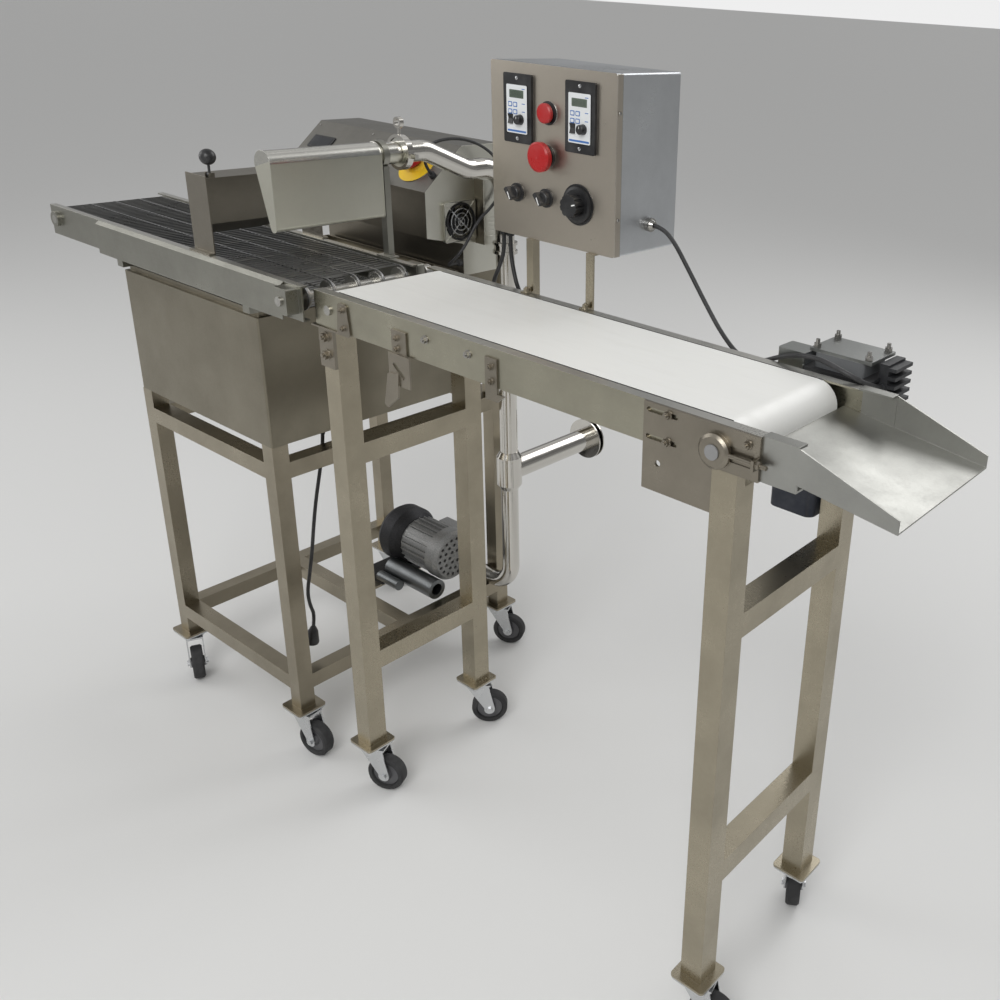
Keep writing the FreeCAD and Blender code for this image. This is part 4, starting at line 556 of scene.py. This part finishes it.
def paint_regions():
    # Control box: front panel, bezels, button seats and the cable glands
    region("control_box", "box_front", test=facing(FRONT))
    region("control_box", "black_plastic", x=(170, 420), y=(0, 249.4), z=(1130, 1372))
    region("control_box", "bolt", x=(428.6, 500))
    region("control_box", "black_satin", z=(0, 1106))
    # Cabinet: sides painted much lighter than the front, painted light; sloping panel, yellow disc
    # and its collar, cable glands
    region("tempering_cabinet", "cabinet_side_painted_light", test=facing(RIGHT))
    region("tempering_cabinet", "cabinet_side_painted_light", test=facing((-1.0, 0.0, 0.0)))
    # Top faces of the cabinet painted lighter than its front: painted highlight
    region("tempering_cabinet", "top_face_painted_highlight", test=facing(TOP, 0.9))
    region("tempering_cabinet", "panel_steel", x=(-610.5, -158.5), z=(1108, 1192),
           test=facing(PANEL_OUT))
    region("tempering_cabinet", "yellow", x=(-273, -187), y=(380, 470), test=over_panel)
    region("tempering_cabinet", "black_satin", x=(-180, -156), y=(370, 420), z=(1100, 1170),
           test=over_panel)
    region("tempering_cabinet", "black_satin", x=(-180, -156), y=(440, 455.5), z=(945, 970))
    region("cabinet_fan_guard", "black_plastic", test=near_axis(FAN_AXIS, RIGHT, 31.0, 39.5))
    region("cabinet_fan_guard", "zinc", test=near_axis(FAN_AXIS, RIGHT, 0.0, 31.0))
    # Tank: basin painted near black, a painted shade under the mesh belt
    region("chocolate_tank", "basin_painted_shade", x=(-590, -179), y=(17, 436), z=(716, 931.5))
    # Belt conveyor and mesh conveyor: upward faces of the folded flanges painted lighter than the
    # same steel, a painted highlight
    region("conveyor_bed", "top_face_painted_highlight", test=facing(TOP, 0.9))
    region("mesh_conveyor_frame", "top_face_painted_highlight", z=(1021, 1030), test=facing(TOP, 0.9))
    # Air knife: bright crown
    region("air_knife", "knife_bright", z=(1203, 1230))
    # Gear motor: gasket, cover plate, ribs and the hung motor
    region("gear_motor", "gasket_and_gap_shade", z=(1011.8, 1017.2))
    region("gear_motor", "plate_grey", z=(1037.5, 1043.1))
    region("gear_motor", "bolt", z=(1043.1, 1060))
    region("gear_motor", "rib_dark", x=(876.9, 910))
    region("gear_motor", "navy", z=(0, 948.5))
    region("gear_motor", "plate_grey", x=(720, 774.9), z=(960, 1040))
    # Blower: satin silencers
    region("ring_blower", "silencer", x=(-334, -180), y=(320, 405), z=(183, 236))
    # Bolts on the side plate and the stand
    for x in (283, 376):
        region("stand_brackets", "bolt", x=(x - 6, x + 6), z=(990, 1004))
    # Wheels: plastic centres
    joints = {joint["name"]: joint for joint in frame["joints"]}
    for node in frame["nodes"]:
        if node.endswith("_caster_wheel"):
            low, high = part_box(node)
            centre = layout((Vector(low) + Vector(high)) / 2)
            axis = joints[node.replace("_caster_wheel", "_wheel_rolls")]["axis"]
            region(node, "hub", test=near_axis(centre, axis, 0.0, 24.0))


paint_regions()


# ------------------------------------------------------------------ details


def surface(node):
    """A tree of the node's surface, for laying marks on it."""
    mesh = frame["nodes"][node].data
    return BVHTree.FromPolygons([v.co for v in mesh.vertices],
                                [tuple(p.vertices) for p in mesh.polygons])


def front_of(tree, x, z):
    """Layout Y of the first surface met from the operator's side."""
    hit = tree.ray_cast(at(x, -400.0, z), Vector((0.0, 1.0, 0.0)))[0]
    return layout(hit).y if hit else None


def drape(bm, tree, start, end, width, lift=0.12, steps=10):
    """A strip that follows the surface from one (x, z) place to another."""
    start, end = Vector(start), Vector(end)
    along = (end - start).normalized()
    across = Vector((-along.y, along.x)) * width / 2
    rows = []
    for k in range(steps + 1):
        middle = start.lerp(end, k / steps)
        depth = front_of(tree, *middle)
        if depth is None:
            continue
        rows.append([bm.verts.new(at(p.x, depth - lift, p.y))
                     for p in (middle - across, middle + across)])
    for low, high in zip(rows, rows[1:]):
        bm.faces.new((low[0], low[1], high[1], high[0]))


CONTROLLERS = (("left", 225.5), ("right", 359.0))
CONTROLLER_Z = 1309.0


def controller_faces():
    """Label, display, keys and screws of the two speed controllers."""
    tree = surface("control_box")
    for side, x in CONTROLLERS:
        z = CONTROLLER_Z
        front = front_of(tree, x, z)
        label = bmesh.new()
        plate(label, placed((x, front, z - 1), FRONT, TOP), 45, 73, -0.1, 0.5, 2.0, 0.2)
        piece(side + "_controller_label", label, "label")
        face = front - 0.5
        bar = bmesh.new()
        plate(bar, placed((x, face, z - 34), FRONT, TOP), 41, 3.0, -0.1, 0.15, 0.8, 0.05)
        for dz in (30, 8, -4):
            plate(bar, placed((x + 15, face, z + dz), FRONT, TOP), 7, 1.2, -0.1, 0.12, 0.4, 0.04)
        piece(side + "_controller_marks", bar, "key_blue")
        lcd = bmesh.new()
        plate(lcd, placed((x, face, z + 22), FRONT, TOP), 31, 12, -0.2, 0.5, 1.0, 0.2)
        piece(side + "_controller_display", lcd, "lcd")
        digits = bmesh.new()
        for k in range(4):
            spot = (x - 9.6 + 6.4 * k, face - 0.5, z + 22)
            seven_segments(digits, placed(spot, FRONT, TOP), (8, 8, 8, 8)[k])
        piece(side + "_controller_digits", digits, "digit")
        outline = bmesh.new()
        keys = bmesh.new()
        for dx in (-14, -3):
            for dz in (6, -5):
                spot = (x + dx, face, z + dz)
                plate(outline, placed(spot, FRONT, TOP), 9.0, 7.6, -0.2, 0.3, 1.6, 0.15)
                plate(keys, placed(spot, FRONT, TOP), 6.2, 4.8, 0.2, 0.8, 1.2, 0.3)
        piece(side + "_controller_key_borders", outline, "key_blue")
        piece(side + "_controller_keys", keys, "label")
        heads = bmesh.new()
        for dz in (-45.5, 45.5):
            spot = (x, front_of(tree, x, z + dz), z + dz)
            screw(heads, placed(spot, FRONT, TOP), 3.0, 1.6)
        piece(side + "_controller_screws", heads, "zinc")


SEGMENTS = {0: "abcdef", 1: "bc", 2: "abged", 3: "abgcd", 4: "fgbc", 5: "afgcd", 6: "afgedc",
            7: "abc", 8: "abcdefg", 9: "abcdfg"}
SEGMENT_PLACES = {"a": (0, 3.2, 0), "b": (1.6, 1.6, 1), "c": (1.6, -1.6, 1), "d": (0, -3.2, 0),
                  "e": (-1.6, -1.6, 1), "f": (-1.6, 1.6, 1), "g": (0, 0, 0)}


def seven_segments(bm, matrix, digit):
    """One display digit, made of its lit bars."""
    for letter in SEGMENTS[digit]:
        x, y, upright = SEGMENT_PLACES[letter]
        width, height = (0.7, 2.7) if upright else (2.7, 0.7)
        spot = matrix @ Matrix.Translation(Vector((x, y, 0.0)) * MM)
        plate(bm, spot, width, height, -0.05, 0.1, 0.3, 0.03)


BOX = {"left": 162.0, "right": 428.0, "front": 250.0, "bottom": 1107.0, "top": 1378.0}
COVER_FOLD = 12.0


def box_details():
    """The front cover's fold round the right side of the control box, its seam and screws."""
    middle = (BOX["bottom"] + BOX["top"]) / 2
    fold = bmesh.new()
    plate(fold, placed((BOX["right"], BOX["front"] + COVER_FOLD / 2 + 0.3, middle), RIGHT, TOP),
          COVER_FOLD, BOX["top"] - BOX["bottom"] - 2.0, -0.5, 1.2, 0.8, 0.4)
    piece("control_box_cover_fold", fold, "box_front")
    seam = bmesh.new()
    centre = (BOX["left"] + BOX["right"]) / 2
    plate(seam, placed((centre, BOX["front"] + COVER_FOLD, BOX["top"]), TOP, (0.0, 1.0, 0.0)),
          BOX["right"] - BOX["left"] - 2.0, 0.9, -0.4, 0.05, 0.3, 0.02)
    plate(seam, placed((BOX["right"], BOX["front"] + COVER_FOLD + 0.8, middle), RIGHT, TOP),
          0.9, BOX["top"] - BOX["bottom"] - 2.0, -0.4, 0.3, 0.3, 0.05)
    piece("control_box_cover_seam", seam, "gasket_and_gap_shade")
    heads = bmesh.new()
    for x in (205, 372):
        screw(heads, placed((x, 256, BOX["top"] - 1.2), TOP, (0.0, 1.0, 0.0)), 3.2, 1.4)
    for z in (1165, 1322):
        screw(heads, placed((BOX["right"] + 1.2, 256, z), RIGHT, TOP), 3.2, 1.8)
    piece("control_box_screws", heads, "bolt")


SELECTORS = (("left", 219.0), ("right", 284.0))
KNOB_ROW_Z = 1178.0
DIAL_X = 353.0


def pointer(node, x, z):
    """Direction and reach of the knob's farthest point from its axis."""
    best = Vector((0.0, 0.0))
    for vertex in frame["nodes"][node].data.vertices:
        place = layout(vertex.co)
        offset = Vector((place.x - x, place.z - z))
        if offset.length > best.length:
            best = offset
    return best.normalized(), best.length


def knob_marks():
    """White lines on the selectors' pointers, the speed dial and the small speed knobs."""
    for side, x in SELECTORS:
        node = side + "_selector_knob"
        aim, reach = pointer(node, x, KNOB_ROW_Z)
        axis = Vector((x, KNOB_ROW_Z))
        mark = bmesh.new()
        drape(mark, surface(node), axis - aim * 3.0, axis + aim * (reach - 2.5), 2.0)
        piece(side + "_selector_mark", mark, "white_mark", side + "_selector")
    mark = bmesh.new()
    axis = Vector((DIAL_X, KNOB_ROW_Z))
    aim = Vector((0.96, 0.28))
    drape(mark, surface("speed_dial"), axis + aim * 7.0, axis + aim * 14.5, 2.0)
    piece("speed_dial_mark", mark, "white_mark", "speed_dial")
    for side, x in CONTROLLERS:
        node = side + "_speed_knob"
        low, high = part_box(node)
        centre = layout((Vector(low) + Vector(high)) / 2)
        axis = Vector((centre.x, centre.z))
        mark = bmesh.new()
        drape(mark, surface(node), axis + Vector((0.0, 1.5)), axis + Vector((0.0, 5.0)), 0.9,
              0.1, 4)
        piece(side + "_speed_knob_mark", mark, "white_mark", side + "_speed_knob")


def cabinet_display():
    """The dark display window on the sloping panel, with its frame."""
    up_slope = 66.0
    spot = on_panel(-552.0, up_slope)
    edge = bmesh.new()
    plate(edge, placed(spot, PANEL_OUT, PANEL_UP), 72, 34, -0.2, 2.2, 3.0, 0.6)
    piece("cabinet_display_frame", edge, "black_satin")
    glass = bmesh.new()
    plate(glass, placed(on_panel(-552.0, up_slope, 2.1), PANEL_OUT, PANEL_UP), 62, 25, -0.2, 0.4,
          1.5, 0.2)
    piece("cabinet_display_glass", glass, "window")
    heads = bmesh.new()
    for x in (-600.0, -420.0, -290.0):
        screw(heads, placed(on_panel(x, 112.0), PANEL_OUT, PANEL_UP), 2.8, 1.6)
    piece("cabinet_panel_screws", heads, "bolt")


def belt_edge_gap_shade():
    """Painted shade: a dark strip in the gap between the belt's edge and each side plate."""
    lines = bmesh.new()
    # Dark strips where the gap beside each side plate lies in shade: painted shade
    for y in (18.2, 226.8):
        plate(lines, placed((440.0, y, 1018.0), TOP, (0.0, 1.0, 0.0)), 776.0, 2.2, -1.0, 0.25, 0.8,
              0.1)
    piece("belt_edge_gap_painted_shade", lines, "gasket_and_gap_shade")


controller_faces()
box_details()
knob_marks()
cabinet_display()
belt_edge_gap_shade()


# ------------------------------------------------------------------ studio


def add_world():
    """Soft surroundings: bright above, darker towards the floor, and a plain pale backdrop."""
    world = bpy.data.worlds.new("studio")
    scene.world = world
    world.use_nodes = True
    tree = world.node_tree
    surroundings = tree.nodes["Background"]
    surroundings.inputs["Strength"].default_value = 0.55
    direction = tree.nodes.new("ShaderNodeTexCoord")
    split = tree.nodes.new("ShaderNodeSeparateXYZ")
    height = tree.nodes.new("ShaderNodeMapRange")
    height.inputs["From Min"].default_value = -1.0
    height.inputs["From Max"].default_value = 1.0
    ramp = tree.nodes.new("ShaderNodeValToRGB")
    stops = ((0.42, 0.22), (0.54, 0.42), (0.85, 1.0))
    ramp.color_ramp.elements.new(0.5)
    for element, (position, grey) in zip(ramp.color_ramp.elements, stops):
        element.position = position
        element.color = (grey, grey, grey, 1.0)
    clouds = tree.nodes.new("ShaderNodeTexNoise")
    clouds.inputs["Scale"].default_value = 2.2
    clouds.inputs["Detail"].default_value = 1.0
    contrast = tree.nodes.new("ShaderNodeMapRange")
    contrast.inputs["From Min"].default_value = 0.35
    contrast.inputs["From Max"].default_value = 0.65
    contrast.inputs["To Min"].default_value = 0.45
    contrast.inputs["To Max"].default_value = 1.4
    product = tree.nodes.new("ShaderNodeVectorMath")
    product.operation = "MULTIPLY"
    backdrop = tree.nodes.new("ShaderNodeBackground")
    backdrop.inputs["Color"].default_value = (0.86, 0.86, 0.86, 1.0)
    seen = tree.nodes.new("ShaderNodeLightPath")
    mix = tree.nodes.new("ShaderNodeMixShader")
    for start, end in (
            (direction.outputs["Generated"], split.inputs["Vector"]),
            (direction.outputs["Generated"], clouds.inputs["Vector"]),
            (split.outputs["Z"], height.inputs["Value"]),
            (height.outputs["Result"], ramp.inputs["Fac"]),
            (clouds.outputs["Fac"], contrast.inputs["Value"]),
            (ramp.outputs["Color"], product.inputs[0]),
            (contrast.outputs["Result"], product.inputs[1]),
            (product.outputs["Vector"], surroundings.inputs["Color"]),
            (seen.outputs["Is Camera Ray"], mix.inputs[0]),
            (surroundings.outputs["Background"], mix.inputs[1]),
            (backdrop.outputs["Background"], mix.inputs[2]),
            (mix.outputs["Shader"], tree.nodes["World Output"].inputs["Surface"])):
        tree.links.new(start, end)


def add_studio():
    bm = bmesh.new()
    reach = 150.0
    corners = [bm.verts.new((x, y, 0.0)) for x, y in
               ((-reach, -reach), (reach, -reach), (reach, reach), (-reach, reach))]
    bm.faces.new(corners)
    mesh = bpy.data.meshes.new("floor")
    bm.to_mesh(mesh)
    bm.free()
    floor = bpy.data.objects.new("floor", mesh)
    scene.collection.objects.link(floor)
    concrete = Finish("floor_paint", (0.74, 0.74, 0.73), roughness=0.55)
    concrete.bump(concrete.noise((60.0, 60.0, 60.0)), 0.03, 0.001)
    mesh.materials.append(concrete.material)
    for name, place, size, power in (("key", (1.6, -3.2, 3.4), 2.2, 85.0),
                                     ("fill", (-3.6, -2.0, 2.4), 2.6, 38.0),
                                     ("rim", (0.5, 3.2, 3.0), 2.4, 45.0)):
        light = bpy.data.lights.new(name, "AREA")
        light.size = size
        light.energy = power
        lamp = bpy.data.objects.new(name, light)
        lamp.location = place
        aim = Vector((-0.2, 0.0, 0.8)) - lamp.location
        lamp.rotation_euler = aim.to_track_quat("-Z", "Y").to_euler()
        scene.collection.objects.link(lamp)
    add_world()
    scene.view_settings.view_transform = "Standard"


add_studio()
